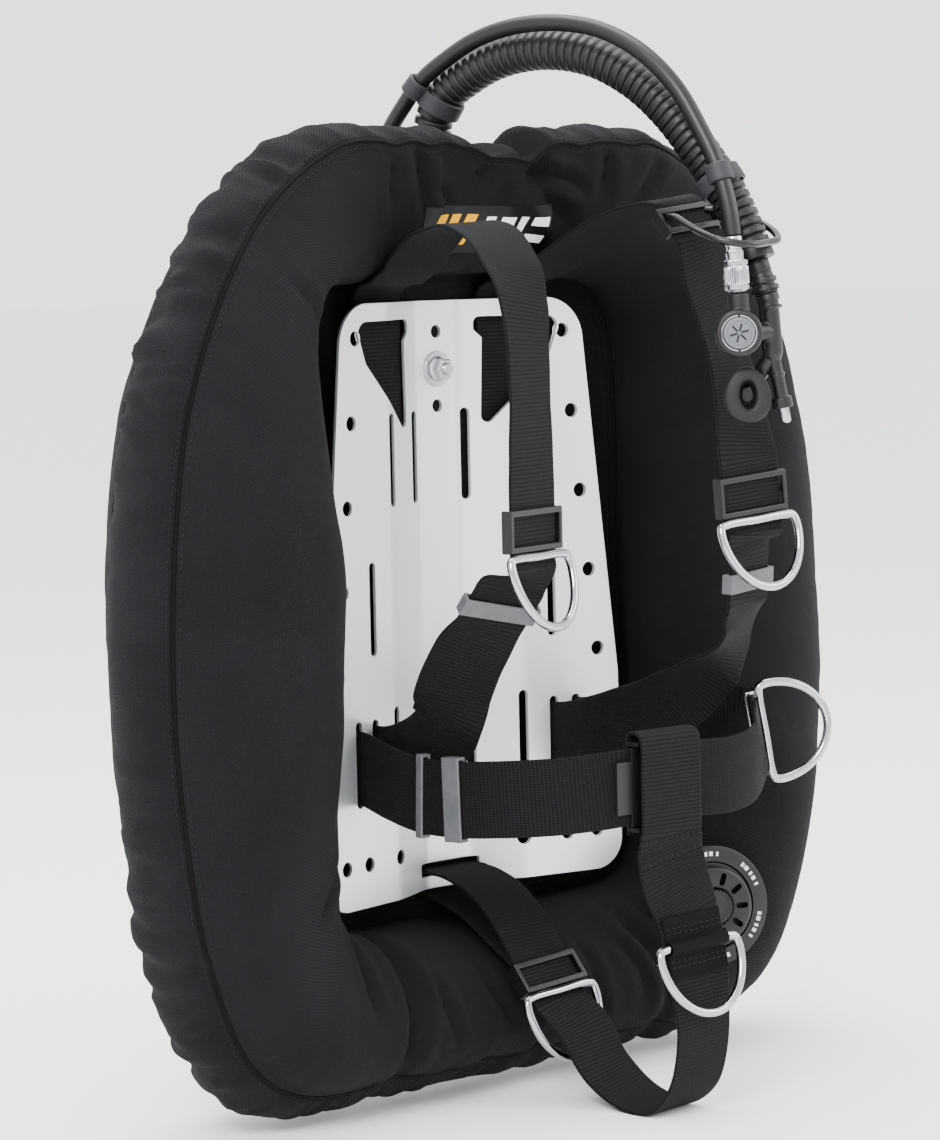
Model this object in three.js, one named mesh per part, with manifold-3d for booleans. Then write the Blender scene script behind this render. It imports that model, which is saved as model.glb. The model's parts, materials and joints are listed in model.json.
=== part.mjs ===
// Buoyancy compensator vest: a doughnut wing, a bent aluminium backplate and a webbing harness.
// Millimetres, +Z up, the diver is on the -Y side, so +X is the diver's left.
// The origin is the middle of the rear face of the tank pad.
import * as THREE from "three";
import { mergeVertices } from "three/addons/utils/BufferGeometryUtils.js";
import Module from "manifold-3d";

const wasm = await Module();
wasm.setup();

// Running clearance between pieces that touch.
const GAP = 0.3;

// Tank pad and centre panel of the wing.
const PAD_WIDTH = 120;
const PAD_HEIGHT = 200;
const PAD_THICK = 1.5;
const PANEL_THICK = 2.5;
const PANEL_FLAT_HALF = 62;
const PANEL_DISH = 0.079;

// Backplate.
const PLATE_THICK = 3;
const PLATE_TOP = 186.4;
const PLATE_BOTTOM = -218;
const PLATE_CENTRE_HALF = 19.75;
const PLATE_FLANK_HALF = 59.5;
const PLATE_CHANNEL = 18.2;
const PLATE_SIDE_SLOPE = 0.2035;
const PLATE_SIDE_HALF = 137;
const PLATE_SHOULDER_HALF = 112;
const PLATE_CORNER = 30;
const BOLT_SPACING = 279.4;
const HOLE_PITCH = 25.4;
const CENTRE_HOLE_RADIUS = 4.4;
const SIDE_HOLE_RADIUS = 5;
const SLOT_WIDTH = 6.5;
const WAIST_SLOTS = [83, 100.9];
const WAIST_SLOT_TOP = -92;
const WAIST_SLOT_LONG = 58;
const CROTCH_SLOT_HALF = 27;
const CROTCH_SLOT_TOP = -200;
const CROTCH_SLOT_BOTTOM = -209;

// Doughnut wing.
const WING_CENTRE_Z = -17;
const HOLE_HALF_WIDTH = 167;
const HOLE_HALF_HEIGHT = 220;
const HOLE_SQUARENESS = 7;
const FRONT_SEAM_Y = -81;
const REAR_SEAM_Y = -18;
const COVER_THICK = 1.2;
const WING_STATIONS = 40;
const COVER_STEPS = { front: 7, gusset: 2, rear: 5 };
const BLADDER_GAP = 5;
const BLADDER_TRIM = 6;

// Harness webbing and its metalwork.
const WEB_WIDTH = 50;
const WEB_THICK = 2.3;
const SLIDE_BAR = 2.6;
const SLIDE_HEIGHT = 27;
const RING_WIRE = 3;
const RING_HALF = 33;
const RING_DEPTH = 46;

// Fasteners.
const BOLT_RADIUS = 4;
const NUT_FLATS = 13;
const WASHER_RADIUS = 12;
const WASHER_THICK = 1.6;

// Hoses.
const LP_RADIUS = 5.75;
const CORRUGATED_RADIUS = 13.2;
const BUNGEE_RADIUS = 2.5;

const PANEL_FRONT = -PAD_THICK - GAP - PANEL_THICK;
const PLATE_REAR = PANEL_FRONT - GAP;
const PLATE_FRONT = PLATE_REAR - PLATE_THICK;

const material = (color, roughness, metalness = 0) =>
  new THREE.MeshStandardMaterial({ color, roughness, metalness });
const FABRIC = material(0x26272b, 0.9);
const BLADDER = material(0x3a3a40, 0.7);
const WEBBING = material(0x1b1b1d, 0.8);
const RUBBER = material(0x4c4d50, 0.7);
const HOSE = material(0x222326, 0.6);
const PLASTIC = material(0x2b2c2f, 0.45);
const ALUMINIUM = material(0xd9dcdf, 0.4, 0.9);
const STEEL = material(0xb9bcc0, 0.2, 1);
const BLACK_STEEL = material(0x1d1d1f, 0.35, 0.8);

const vest = new THREE.Group();

function add(name, geometry, finish) {
  const mesh = new THREE.Mesh(geometry, finish);
  mesh.name = name;
  vest.add(mesh);
}

// three.js geometry to a manifold-3d solid, and back.
function solid(geometry) {
  const bare = geometry.clone();
  bare.deleteAttribute("normal");
  bare.deleteAttribute("uv");
  const merged = mergeVertices(bare, 1e-3);
  const index = new Uint32Array(merged.index.array);
  const vertProperties = merged.attributes.position.array;
  const made = new wasm.Manifold(new wasm.Mesh({ numProp: 3, vertProperties, triVerts: index }));
  if (made.volume() >= 0) return made;
  for (let i = 0; i < index.length; i += 3) {
    const first = index[i];
    index[i] = index[i + 1];
    index[i + 1] = first;
  }
  return new wasm.Manifold(new wasm.Mesh({ numProp: 3, vertProperties, triVerts: index }));
}

function shape(body) {
  const mesh = body.getMesh();
  const geometry = new THREE.BufferGeometry();
  const points = new Float32Array(mesh.vertProperties);
  geometry.setAttribute("position", new THREE.BufferAttribute(points, 3));
  geometry.setIndex(new THREE.BufferAttribute(new Uint32Array(mesh.triVerts), 1));
  return geometry;
}

const vec = (p) => new THREE.Vector3(...p);
const box = (x0, x1, y0, y1, z0, z1) =>
  new THREE.BoxGeometry(x1 - x0, y1 - y0, z1 - z0)
    .translate((x0 + x1) / 2, (y0 + y1) / 2, (z0 + z1) / 2);

// A round bar or disc between two points.
function rod(from, to, radius, sides = 12, endRadius = radius) {
  const a = vec(from);
  const b = vec(to);
  const turn = new THREE.Quaternion().setFromUnitVectors(
    new THREE.Vector3(0, 1, 0), b.clone().sub(a).normalize());
  return new THREE.CylinderGeometry(endRadius, radius, a.distanceTo(b), sides)
    .applyQuaternion(turn)
    .translate(...a.add(b).multiplyScalar(0.5).toArray());
}

const union = (...geometries) =>
  geometries.map(solid).reduce((whole, next) => whole.add(next));

// A prism along Y cut from an outline in X and Z.
function prismY(outline, y0, y1) {
  const face = new THREE.Shape(outline.map(([x, z]) => new THREE.Vector2(x, z)));
  return new THREE.ExtrudeGeometry(face, { depth: y1 - y0, bevelEnabled: false })
    .rotateX(Math.PI / 2)
    .translate(0, y1, 0);
}

function arc(x, z, radius, from, to, steps = 5) {
  return Array.from({ length: steps + 1 }, (_, i) => {
    const angle = ((from + ((to - from) * i) / steps) * Math.PI) / 180;
    return [x + radius * Math.cos(angle), z + radius * Math.sin(angle)];
  });
}

const CUT_FRONT = -70;
const CUT_REAR = 10;
const hole = (x, z, radius) => prismY(arc(x, z, radius, 0, 315, 7), CUT_FRONT, CUT_REAR);

function slot(x, top, bottom, width = SLOT_WIDTH) {
  const r = width / 2;
  return prismY([...arc(x, top - r, r, 0, 180, 3), ...arc(x, bottom + r, r, 180, 360, 3)],
    CUT_FRONT, CUT_REAR);
}

// The front face of the backplate at a distance from its middle.
function plateFront(x) {
  const across = Math.abs(x);
  if (across <= PLATE_CENTRE_HALF) return PLATE_FRONT;
  if (across >= PLATE_FLANK_HALF) {
    return PLATE_FRONT - PLATE_CHANNEL - (across - PLATE_FLANK_HALF) * PLATE_SIDE_SLOPE;
  }
  const share = (across - PLATE_CENTRE_HALF) / (PLATE_FLANK_HALF - PLATE_CENTRE_HALF);
  return PLATE_FRONT - PLATE_CHANNEL * share;
}

// The slanted opening under each shoulder, with its long slot along the top.
function shoulderOpening(side) {
  const outline = [
    ...arc(35, 170, 4.5, 90, 180, 3), [30.5, 165.5], [36, 160],
    ...arc(39, 106, 4.5, 180, 315, 5),
    [84, 146], ...arc(83, 165, 9, 0, 90, 4),
  ];
  const turned = outline.map(([x, z]) => [x * side, z]);
  return prismY(side > 0 ? turned.reverse() : turned, CUT_FRONT, CUT_REAR);
}

function backplate() {
  const stops = [-PLATE_SIDE_HALF - 3, -PLATE_FLANK_HALF, -PLATE_CENTRE_HALF,
    PLATE_CENTRE_HALF, PLATE_FLANK_HALF, PLATE_SIDE_HALF + 3];
  const front = stops.map((x) => new THREE.Vector2(x, plateFront(x)));
  const rear = stops.map((x) => new THREE.Vector2(x, plateFront(x) + PLATE_THICK)).reverse();
  const sheet = new THREE.ExtrudeGeometry(new THREE.Shape([...front, ...rear]),
    { depth: PLATE_TOP - PLATE_BOTTOM + 20, bevelEnabled: false })
    .translate(0, 0, PLATE_BOTTOM - 10);
  const right = [
    ...arc(PLATE_SIDE_HALF - 22, PLATE_BOTTOM + 22, 22, -90, 0),
    [PLATE_SIDE_HALF - 1, -78],
    ...arc(PLATE_SHOULDER_HALF - PLATE_CORNER, PLATE_TOP - PLATE_CORNER, PLATE_CORNER, 8, 90),
  ];
  const left = right.map(([x, z]) => [-x, z]).reverse();
  let plate = solid(sheet).intersect(solid(prismY([...right, ...left], CUT_FRONT, CUT_REAR)));
  const cut = (geometry) => {
    plate = plate.subtract(solid(geometry));
  };
  for (const end of [1, -1]) {
    for (const step of [-1, 0, 1]) {
      cut(hole(0, end * BOLT_SPACING / 2 + step * HOLE_PITCH, CENTRE_HOLE_RADIUS));
    }
  }
  for (const side of [1, -1]) {
    cut(shoulderOpening(side));
    for (let i = 0; i < 5; i += 1) {
      cut(hole(side * (95.5 + 6 * i), 163.2 - 56 * i, SIDE_HOLE_RADIUS));
    }
    for (const x of [57.7, 92.5, 116.7]) cut(hole(side * x, -189, SIDE_HOLE_RADIUS));
    cut(slot(side * 23.5, 112, 49));
    cut(slot(side * 57, 112, 49));
    cut(slot(side * 82.7, 13.4, -49.6));
    cut(slot(side * 23.5, -84, -147));
    cut(slot(side * 58.9, -86, -149));
    for (const x of WAIST_SLOTS) {
      cut(slot(side * x, WAIST_SLOT_TOP, WAIST_SLOT_TOP - WAIST_SLOT_LONG));
    }
  }
  cut(box(-CROTCH_SLOT_HALF, CROTCH_SLOT_HALF, CUT_FRONT, CUT_REAR,
    CROTCH_SLOT_BOTTOM, CROTCH_SLOT_TOP));
  return plate;
}

// Outline of the wing along its two outer seams, as the distance from the wing's middle.
const SEAM_HALF = [[0, 281], [45, 290.5], [100, 292], [145, 289], [205, 252], [245, 197],
  [275, 124], [290, 30], [293, -60], [287, -140], [272, -222], [238, -297], [197, -322],
  [100, -324.5], [0, -323.6]];
const seamCurve = new THREE.CatmullRomCurve3(
  [...SEAM_HALF, ...SEAM_HALF.slice(1, -1).reverse().map(([x, z]) => [-x, z])]
    .map(([x, z]) => new THREE.Vector3(x, 0, z - WING_CENTRE_Z)), true, "centripetal");
const seamPolar = seamCurve.getPoints(420)
  .map((p) => [Math.atan2(p.z, p.x), Math.hypot(p.x, p.z)])
  .sort((a, b) => a[0] - b[0]);

function seamDistance(angle) {
  let next = seamPolar.findIndex(([a]) => a >= angle);
  if (next < 1) next = next === 0 ? 1 : seamPolar.length - 1;
  const [a0, r0] = seamPolar[next - 1];
  const [a1, r1] = seamPolar[next];
  return r0 + ((r1 - r0) * (angle - a0)) / (a1 - a0 || 1);
}

function holeDistance(angle) {
  const across = Math.abs(Math.cos(angle) / HOLE_HALF_WIDTH) ** HOLE_SQUARENESS;
  const along = Math.abs(Math.sin(angle) / HOLE_HALF_HEIGHT) ** HOLE_SQUARENESS;
  return (across + along) ** (-1 / HOLE_SQUARENESS);
}

const panelFront = (x) =>
  PANEL_FRONT - Math.max(0, Math.abs(x) - PANEL_FLAT_HALF) * PANEL_DISH;

// Pull of each seam curve towards its bulge, for the side, the top and the bottom of the ring:
// [distance, depth] handles of the front and rear panels, and the gusset's bulge.
const BULGE = {
  side: [[-58, -96], [-46, -100], [-24, 62], [34, 57], 16],
  top: [[-3, -60], [-18, 19], [-8, 32], [15, 30], 11],
  bottom: [[-8, -70], [-25, -55], [-12, 40], [18, 36], 19],
};

function bulgeAt(angle) {
  const top = Math.max(0, Math.sin(angle)) ** 2.5;
  const bottom = Math.max(0, -Math.sin(angle)) ** 2.5;
  const mix = (a, b, c) => a * (1 - top - bottom) + b * top + c * bottom;
  return BULGE.side.map((value, i) => (Array.isArray(value)
    ? value.map((v, k) => mix(v, BULGE.top[i][k], BULGE.bottom[i][k]))
    : mix(value, BULGE.top[i], BULGE.bottom[i])));
}

// The wing's section at an angle: three curves of [distance, y], seam to seam.
function wingSection(angle) {
  const inner = holeDistance(angle);
  const outer = seamDistance(angle);
  const seamY = panelFront(inner * Math.cos(angle)) + PANEL_THICK / 2;
  const [inFront, outFront, outRear, inRear, gusset] = bulgeAt(angle);
  const curve = (...points) => new THREE.CubicBezierCurve(
    ...points.map(([a, b]) => new THREE.Vector2(a, b)));
  const start = [inner, seamY];
  const front = [outer, FRONT_SEAM_Y];
  const rear = [outer, REAR_SEAM_Y];
  const lean = (p, [a, b]) => [p[0] + a, p[1] + b];
  return {
    front: curve(start, lean(start, inFront), lean(front, outFront), front),
    gusset: curve(front, lean(front, [gusset * 1.3, 14]), lean(rear, [gusset * 1.3, -14]), rear),
    rear: curve(rear, lean(rear, outRear), lean(start, inRear), start),
    middle: new THREE.Vector2((inner + outer) / 2, (FRONT_SEAM_Y + REAR_SEAM_Y) / 2),
  };
}

// Points of one panel of the wing at an angle, a depth below its face, clear of its seams.
function wingRow(angle, part, depth, trim = GAP) {
  const section = wingSection(angle);
  const panel = section[part];
  const steps = COVER_STEPS[part];
  const share = trim / panel.getLength();
  return Array.from({ length: steps + 1 }, (_, i) => {
    const p = panel.getPointAt(share + (1 - 2 * share) * (i / steps));
    p.add(section.middle.clone().sub(p).normalize().multiplyScalar(depth));
    return [p.x * Math.cos(angle), p.y, p.x * Math.sin(angle) + WING_CENTRE_Z];
  });
}

// A closed ring swept round the wing from a closed loop of points at each station.
function ringSolid(loopAt) {
  const loops = Array.from({ length: WING_STATIONS }, (_, i) =>
    loopAt(-Math.PI + (2 * Math.PI * (i + 0.5)) / WING_STATIONS));
  const count = loops[0].length;
  const index = [];
  loops.forEach((_, i) => {
    const a = i * count;
    const b = ((i + 1) % loops.length) * count;
    for (let j = 0; j < count; j += 1) {
      const k = (j + 1) % count;
      index.push(a + j, b + j, a + k, a + k, b + j, b + k);
    }
  });
  const geometry = new THREE.BufferGeometry();
  geometry.setAttribute("position", new THREE.Float32BufferAttribute(loops.flat(2), 3));
  geometry.setIndex(index);
  return solid(geometry);
}

const coverPanel = (part) => ringSolid((angle) => [
  ...wingRow(angle, part, 0), ...wingRow(angle, part, COVER_THICK).reverse()]);

const bladderRing = () => ringSolid((angle) => Object.keys(COVER_STEPS)
  .flatMap((part) => wingRow(angle, part, COVER_THICK + BLADDER_GAP, BLADDER_TRIM)));

function centrePanel() {
  const rim = 4 * GAP;
  const half = HOLE_HALF_WIDTH + 5;
  const front = [-half, -PANEL_FLAT_HALF, PANEL_FLAT_HALF, half]
    .map((x) => new THREE.Vector2(x, panelFront(x)));
  const rear = front.map((p) => new THREE.Vector2(p.x, p.y + PANEL_THICK)).reverse();
  const sheet = new THREE.ExtrudeGeometry(new THREE.Shape([...front, ...rear]),
    { depth: 2 * HOLE_HALF_HEIGHT + 20, bevelEnabled: false })
    .translate(0, 0, WING_CENTRE_Z - HOLE_HALF_HEIGHT - 10);
  const outline = Array.from({ length: WING_STATIONS }, (_, i) => {
    const angle = -Math.PI + (2 * Math.PI * (i + 0.5)) / WING_STATIONS;
    const reach = holeDistance(angle) - rim;
    return [reach * Math.cos(angle), reach * Math.sin(angle) + WING_CENTRE_Z];
  });
  let panel = solid(sheet).intersect(solid(prismY(outline, CUT_FRONT, CUT_REAR)));
  for (const z of [BOLT_SPACING / 2, -BOLT_SPACING / 2]) {
    panel = panel.subtract(solid(alongY(z, CUT_FRONT, CUT_REAR, GROMMET_RADIUS + GAP)));
  }
  const window = CROTCH_SLOT_HALF + 1;
  return panel.subtract(solid(
    box(-window, window, CUT_FRONT, CUT_REAR, PLATE_BOTTOM - 6, CROTCH_SLOT_TOP + 4)));
}

const GROMMET_RADIUS = 6;
const GROMMET_FLANGE = 9.5;
const GROMMET_THICK = 0.8;
const PANEL_REAR = PANEL_FRONT + PANEL_THICK;

const alongY = (z, y0, y1, radius, sides = 12) => rod([0, y0, z], [0, y1, z], radius, sides);

function grommet(z) {
  return union(alongY(z, PANEL_FRONT, PANEL_REAR + GAP + GROMMET_THICK, GROMMET_RADIUS),
    alongY(z, PANEL_REAR + GAP, PANEL_REAR + GAP + GROMMET_THICK, GROMMET_FLANGE))
    .subtract(solid(alongY(z, CUT_FRONT, CUT_REAR, BOLT_RADIUS + GAP)));
}

// The bolt's head bears on the grommet behind the wing, the washer and nut on the plate.
const HEAD_Y = PANEL_REAR + 2 * GAP + GROMMET_THICK;
const HEAD_THICK = 5.3;
const NUT_THICK = 8;
const WASHER_REAR = PLATE_FRONT - GAP;
const NUT_REAR = WASHER_REAR - WASHER_THICK - GAP;
const BOLT_TIP = NUT_REAR - NUT_THICK - 2;
const HEX_RADIUS = NUT_FLATS / Math.sqrt(3);

const bolt = (z) => union(alongY(z, BOLT_TIP, HEAD_Y + 1, BOLT_RADIUS),
  alongY(z, HEAD_Y, HEAD_Y + HEAD_THICK, HEX_RADIUS, 6));
const washer = (z) => solid(alongY(z, WASHER_REAR - WASHER_THICK, WASHER_REAR, WASHER_RADIUS, 28))
  .subtract(solid(alongY(z, CUT_FRONT, CUT_REAR, BOLT_RADIUS + GAP)));
const nut = (z) => union(alongY(z, NUT_REAR - NUT_THICK, NUT_REAR, HEX_RADIUS, 6),
  alongY(z, NUT_REAR - 1.5, NUT_REAR, HEX_RADIUS + 1.2, 24))
  .subtract(solid(alongY(z, CUT_FRONT, CUT_REAR, BOLT_RADIUS + GAP)));

// A strap is a list of stations [x, y, z, wx, wy, wz]: a point on its middle line and the
// direction of its width there. This gives the middle, run, width and face at a share of it.
function strapAt(stations, t) {
  const line = new THREE.CatmullRomCurve3(stations.map((s) => vec(s.slice(0, 3))),
    false, "centripetal");
  const place = t * (stations.length - 1);
  const low = Math.min(Math.floor(place), stations.length - 2);
  const share = place - low;
  const run = line.getTangent(t);
  const across = vec(stations[low].slice(3)).normalize()
    .lerp(vec(stations[low + 1].slice(3)).normalize(), share * share * (3 - 2 * share));
  across.addScaledVector(run, -across.dot(run)).normalize();
  return { middle: line.getPoint(t), run, across, face: run.clone().cross(across) };
}

function webbing(stations, steps, width = WEB_WIDTH, thick = WEB_THICK) {
  const rows = [];
  for (let i = 0; i <= steps; i += 1) {
    const { middle, across, face } = strapAt(stations, i / steps);
    rows.push([[-1, -1], [1, -1], [1, 1], [-1, 1]].map(([a, b]) => middle.clone()
      .addScaledVector(across, (a * width) / 2)
      .addScaledVector(face, (b * thick) / 2)
      .toArray()));
  }
  const index = [0, 1, 2, 0, 2, 3];
  for (let i = 0; i < steps; i += 1) {
    for (let j = 0; j < 4; j += 1) {
      const a = i * 4 + j;
      const b = i * 4 + ((j + 1) % 4);
      index.push(a, a + 4, b, b, a + 4, b + 4);
    }
  }
  const last = steps * 4;
  index.push(last, last + 2, last + 1, last, last + 3, last + 2);
  const geometry = new THREE.BufferGeometry();
  geometry.setAttribute("position", new THREE.Float32BufferAttribute(rows.flat(2), 3));
  geometry.setIndex(index);
  return shape(solid(geometry));
}

// The frame of what sits on a strap, at the station nearest a point.
function frameOnStrap(stations, point) {
  const target = vec(point);
  let best = 0;
  for (let t = 0; t <= 1; t += 0.002) {
    const nearer = strapAt(stations, t).middle.distanceTo(target);
    if (nearer < strapAt(stations, best).middle.distanceTo(target)) best = t;
  }
  const { middle, run, across, face } = strapAt(stations, best);
  return new THREE.Matrix4().makeBasis(across, run.negate(), face).setPosition(middle);
}

// A cord, hose or wire along a curve, with closed ends.
function cord(points, radius, steps, sides = 8) {
  const line = new THREE.CatmullRomCurve3(points.map(vec), false, "centripetal");
  const round = new THREE.Shape(arc(0, 0, radius, 0, 360 - 360 / sides, sides - 1)
    .map(([x, y]) => new THREE.Vector2(x, y)));
  return new THREE.ExtrudeGeometry(round, { steps, extrudePath: line, bevelEnabled: false });
}

// A frame on a strap: origin, x along the webbing's width, z out of its front face.
function frameAt(origin, across, front) {
  const x = vec(across).normalize();
  const z = vec(front);
  z.addScaledVector(x, -z.dot(x)).normalize();
  return new THREE.Matrix4()
    .makeBasis(x, new THREE.Vector3().crossVectors(z, x), z)
    .setPosition(...origin);
}

// A slide: two bars over the webbing and one under it, between two ends.
function slide(frame, height = SLIDE_HEIGHT, over = WEB_THICK / 2 + GAP) {
  const half = WEB_WIDTH / 2 + 1;
  const edge = height / 2;
  return shape(union(
    box(-half, half, edge - 4, edge, over, over + SLIDE_BAR),
    box(-half, half, -edge, 4 - edge, over, over + SLIDE_BAR),
    box(-half, half, -2, 2, -over - SLIDE_BAR, -over),
    box(-half - 3, -half, -edge, edge, -over - SLIDE_BAR, over + SLIDE_BAR),
    box(half, half + 3, -edge, edge, -over - SLIDE_BAR, over + SLIDE_BAR),
  )).applyMatrix4(frame);
}

// A D-ring of round wire: its straight bar lies on the frame's x, its bow along -y.
function dRing(frame, half = RING_HALF, depth = RING_DEPTH) {
  const corner = 7;
  const points = [[0, 0], [half - corner, 0], [half - 1.5, -1.5], [half, -corner]];
  for (let i = 1; i < 6; i += 1) {
    const angle = (Math.PI * i) / 12;
    points.push([half * Math.cos(angle), -corner - (depth - corner) * Math.sin(angle)]);
  }
  const left = points.slice(1).reverse().map(([x, y]) => [-x, y]);
  const loop = [...points, [0, -depth], ...left].map(([x, y]) => new THREE.Vector3(x, y, 0));
  return new THREE.TubeGeometry(
    new THREE.CatmullRomCurve3(loop, true, "centripetal"), 26, RING_WIRE, 6, true)
    .applyMatrix4(frame);
}

// A rubber keeper: a flat band round a strap's frame.
function keeper(frame, height, thick = 2) {
  const half = WEB_WIDTH / 2 + 2 * GAP;
  const over = WEB_THICK / 2 + 3 * GAP;
  return shape(solid(box(-half - thick, half + thick, -height / 2, height / 2,
    -over - thick, over + thick))
    .subtract(solid(box(-half, half, -height, height, -over, over)))).applyMatrix4(frame);
}

// Dump valve on the lower front of the left lobe; distances run along its axis.
const VALVE_AT = [157, -110, -242];
const VALVE_AXIS = vec([-0.4, -0.91, 0.05]).normalize();
const VALVE_RADIUS = 42.4;
const VALVE_NECK = 24.4;
const CAP_RADIUS = 28;
const KNOB_RADIUS = 12.5;
const onValve = (reach) => vec(VALVE_AT).addScaledVector(VALVE_AXIS, reach).toArray();
const valveDisc = (from, to, radius, sides = 24) =>
  rod(onValve(from), onValve(to), radius, sides);
const valvePocket = () => union(valveDisc(-6, 60, VALVE_RADIUS + 2 * GAP),
  valveDisc(-24, -5, VALVE_NECK + GAP));

// Elbow of the corrugated hose, on the rear of the top tube.
const ELBOW_AT = [26, 2, 262];
const ELBOW_OUT = [26, 21, 292];
const ELBOW_FLANGE = 20;
const elbowPocket = () => solid(
  rod(ELBOW_AT, [ELBOW_AT[0], 60, ELBOW_AT[2]], ELBOW_FLANGE + 2 * GAP, 20));

// Wing.
add("bladder", shape(bladderRing().subtract(valvePocket()).subtract(elbowPocket())), BLADDER);
add("cover_front_panel", shape(coverPanel("front").subtract(valvePocket())), FABRIC);
add("cover_gusset", shape(coverPanel("gusset")), FABRIC);
add("cover_rear_panel", shape(coverPanel("rear").subtract(elbowPocket())), FABRIC);
add("centre_panel", shape(centrePanel()), FABRIC);
add("tank_pad", box(-PAD_WIDTH / 2, PAD_WIDTH / 2, -PAD_THICK, 0,
  -PAD_HEIGHT / 2, PAD_HEIGHT / 2), RUBBER);
const PATCH = frameAt([0, -59.6, 232.3], [1, 0, 0], [0, -0.9, -0.43]);
add("name_patch", box(-59, 59, -18.5, 18.5, -0.6, 0.6).applyMatrix4(PATCH), RUBBER);

// Backplate and the two bolts that clamp it to the wing.
add("backplate", shape(backplate()), ALUMINIUM);
for (const [place, z] of [["upper", BOLT_SPACING / 2], ["lower", -BOLT_SPACING / 2]]) {
  add(`grommet_${place}`, shape(grommet(z)), STEEL);
  add(`bolt_${place}`, shape(bolt(z)), STEEL);
  add(`washer_${place}`, shape(washer(z)), STEEL);
  add(`nut_${place}`, shape(nut(z)), STEEL);
}

// Dump valve.
add("dump_valve_body", shape(union(valveDisc(-5.7, -1.7, VALVE_RADIUS),
  valveDisc(-22, -5, VALVE_NECK)).subtract(solid(valveDisc(-30, 10, 7, 16)))), PLASTIC);
function valveCap() {
  let cap = solid(valveDisc(-1.4, 5.6, CAP_RADIUS));
  cap = cap.subtract(solid(valveDisc(-10, 20, KNOB_RADIUS + GAP)));
  const turn = new THREE.Quaternion()
    .setFromUnitVectors(new THREE.Vector3(0, 0, 1), VALVE_AXIS);
  for (let i = 0; i < 10; i += 1) {
    const cutter = box(15.5, 24.5, -2, 2, -20, 20).rotateZ((i * Math.PI) / 5)
      .applyQuaternion(turn).translate(...VALVE_AT);
    cap = cap.subtract(solid(cutter));
  }
  return cap;
}
add("dump_valve_cap", shape(valveCap()), PLASTIC);
add("dump_valve_knob", shape(union(valveDisc(-1.4, 7, KNOB_RADIUS),
  valveDisc(-16, 0, 7 - GAP, 16))), PLASTIC);

// Straight stations along a frame's y, where a slide or a ring sits on the webbing.
function straightRun(frame, reaches, lift = 0) {
  const x = new THREE.Vector3();
  const y = new THREE.Vector3();
  const z = new THREE.Vector3();
  frame.extractBasis(x, y, z);
  const origin = new THREE.Vector3().setFromMatrixPosition(frame);
  return reaches.map((reach) => [
    ...origin.clone().addScaledVector(y, reach).addScaledVector(z, lift).toArray(),
    ...x.toArray()]);
}

// The frame of a ring whose bar lies on a strap's frame, hanging along a direction.
function ringFrame(frame, reach, hang, over = WEB_THICK / 2 + GAP + RING_WIRE) {
  const x = new THREE.Vector3();
  const y = new THREE.Vector3();
  const z = new THREE.Vector3();
  frame.extractBasis(x, y, z);
  const origin = new THREE.Vector3().setFromMatrixPosition(frame)
    .addScaledVector(y, reach).addScaledVector(z, over);
  const up = vec(hang).negate();
  up.addScaledVector(x, -up.dot(x)).normalize();
  return new THREE.Matrix4()
    .makeBasis(x, up, new THREE.Vector3().crossVectors(x, up))
    .setPosition(origin);
}

const RING_REACH = -(SLIDE_HEIGHT / 2 + GAP + RING_WIRE);
const RUN = [26, 16, 6, -4, -14, -20, -26];

// Shoulder straps, from behind the plate, over the shoulder and back through the waist slots.
const RIGHT_SLIDE = frameAt([-102, -206.8, 44], [48.8, 11, 0], [0.22, -0.975, 0]);
const LEFT_SLIDE = frameAt([103, -203, 54], [49.5, -5, 4], [-0.1, -1, 0]);
const RIGHT_KEEPER = frameAt([-104.5, -177, -8], [47.5, -11, -10], [-0.3, -0.73, -0.615]);
const LEFT_KEEPER = frameAt([106, -196.5, -4], [48, 11, 2], [0.22, -0.97, -0.08]);
const BUNGEE_SLIDE = frameAt([86, -165, 237], [49.5, 5, 5], [-0.08, -0.8, 0.6]);

// The webbing's last stretch: in through the inner waist slot and along behind the plate.
const slotEnd = (side) => [[82.9, -33], [82.9, -29], [83.6, -27], [85.5, -26.2], [88, -26.6],
  [91.8, -27.5]].map(([x, y]) => [side * x, y, -121, 0, 0, -1]);

const RIGHT_SHOULDER = [
  [-60, -14, 62, 48.9, 10.6, 0], [-60, -15, 120, 48.9, 10.6, 0],
  [-60, -15, 180, 48.9, 10.6, 0], [-60, -15.4, 189, 48.9, 10.6, 0],
  [-61, -24, 196.5, 49.5, 8, -1], [-63, -40, 201, 50, 6, -2],
  [-67, -60, 209.5, 50, 5, -2], [-73, -78, 220, 50, 4, -3], [-78, -99, 231, 50, 5, -1],
  [-82, -128, 237, 50, 6, 2], [-89, -157, 232, 50, 3, 3],
  [-96, -184, 214, 50, -2, -4], [-100, -200, 189, 49, 8, -4],
  [-102, -206, 157, 48, 13, -4], [-102, -207, 126, 47, 14, -3],
  [-102, -207, 94, 48, 12, -2], ...straightRun(RIGHT_SLIDE, RUN),
  ...straightRun(RIGHT_KEEPER, [20, 12, 4, -4, -12]),
  [-107.5, -152, -38, 41, -28, -6],
  [-107, -135, -64, 36, -34, -3], [-104, -124, -85, 14, -48, -2],
  [-99, -104, -101, -4, -48, -12], [-92, -72, -114, -2, -28, -41],
  [-85, -46, -120, 0, -6, -49.6], ...slotEnd(-1)];

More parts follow.
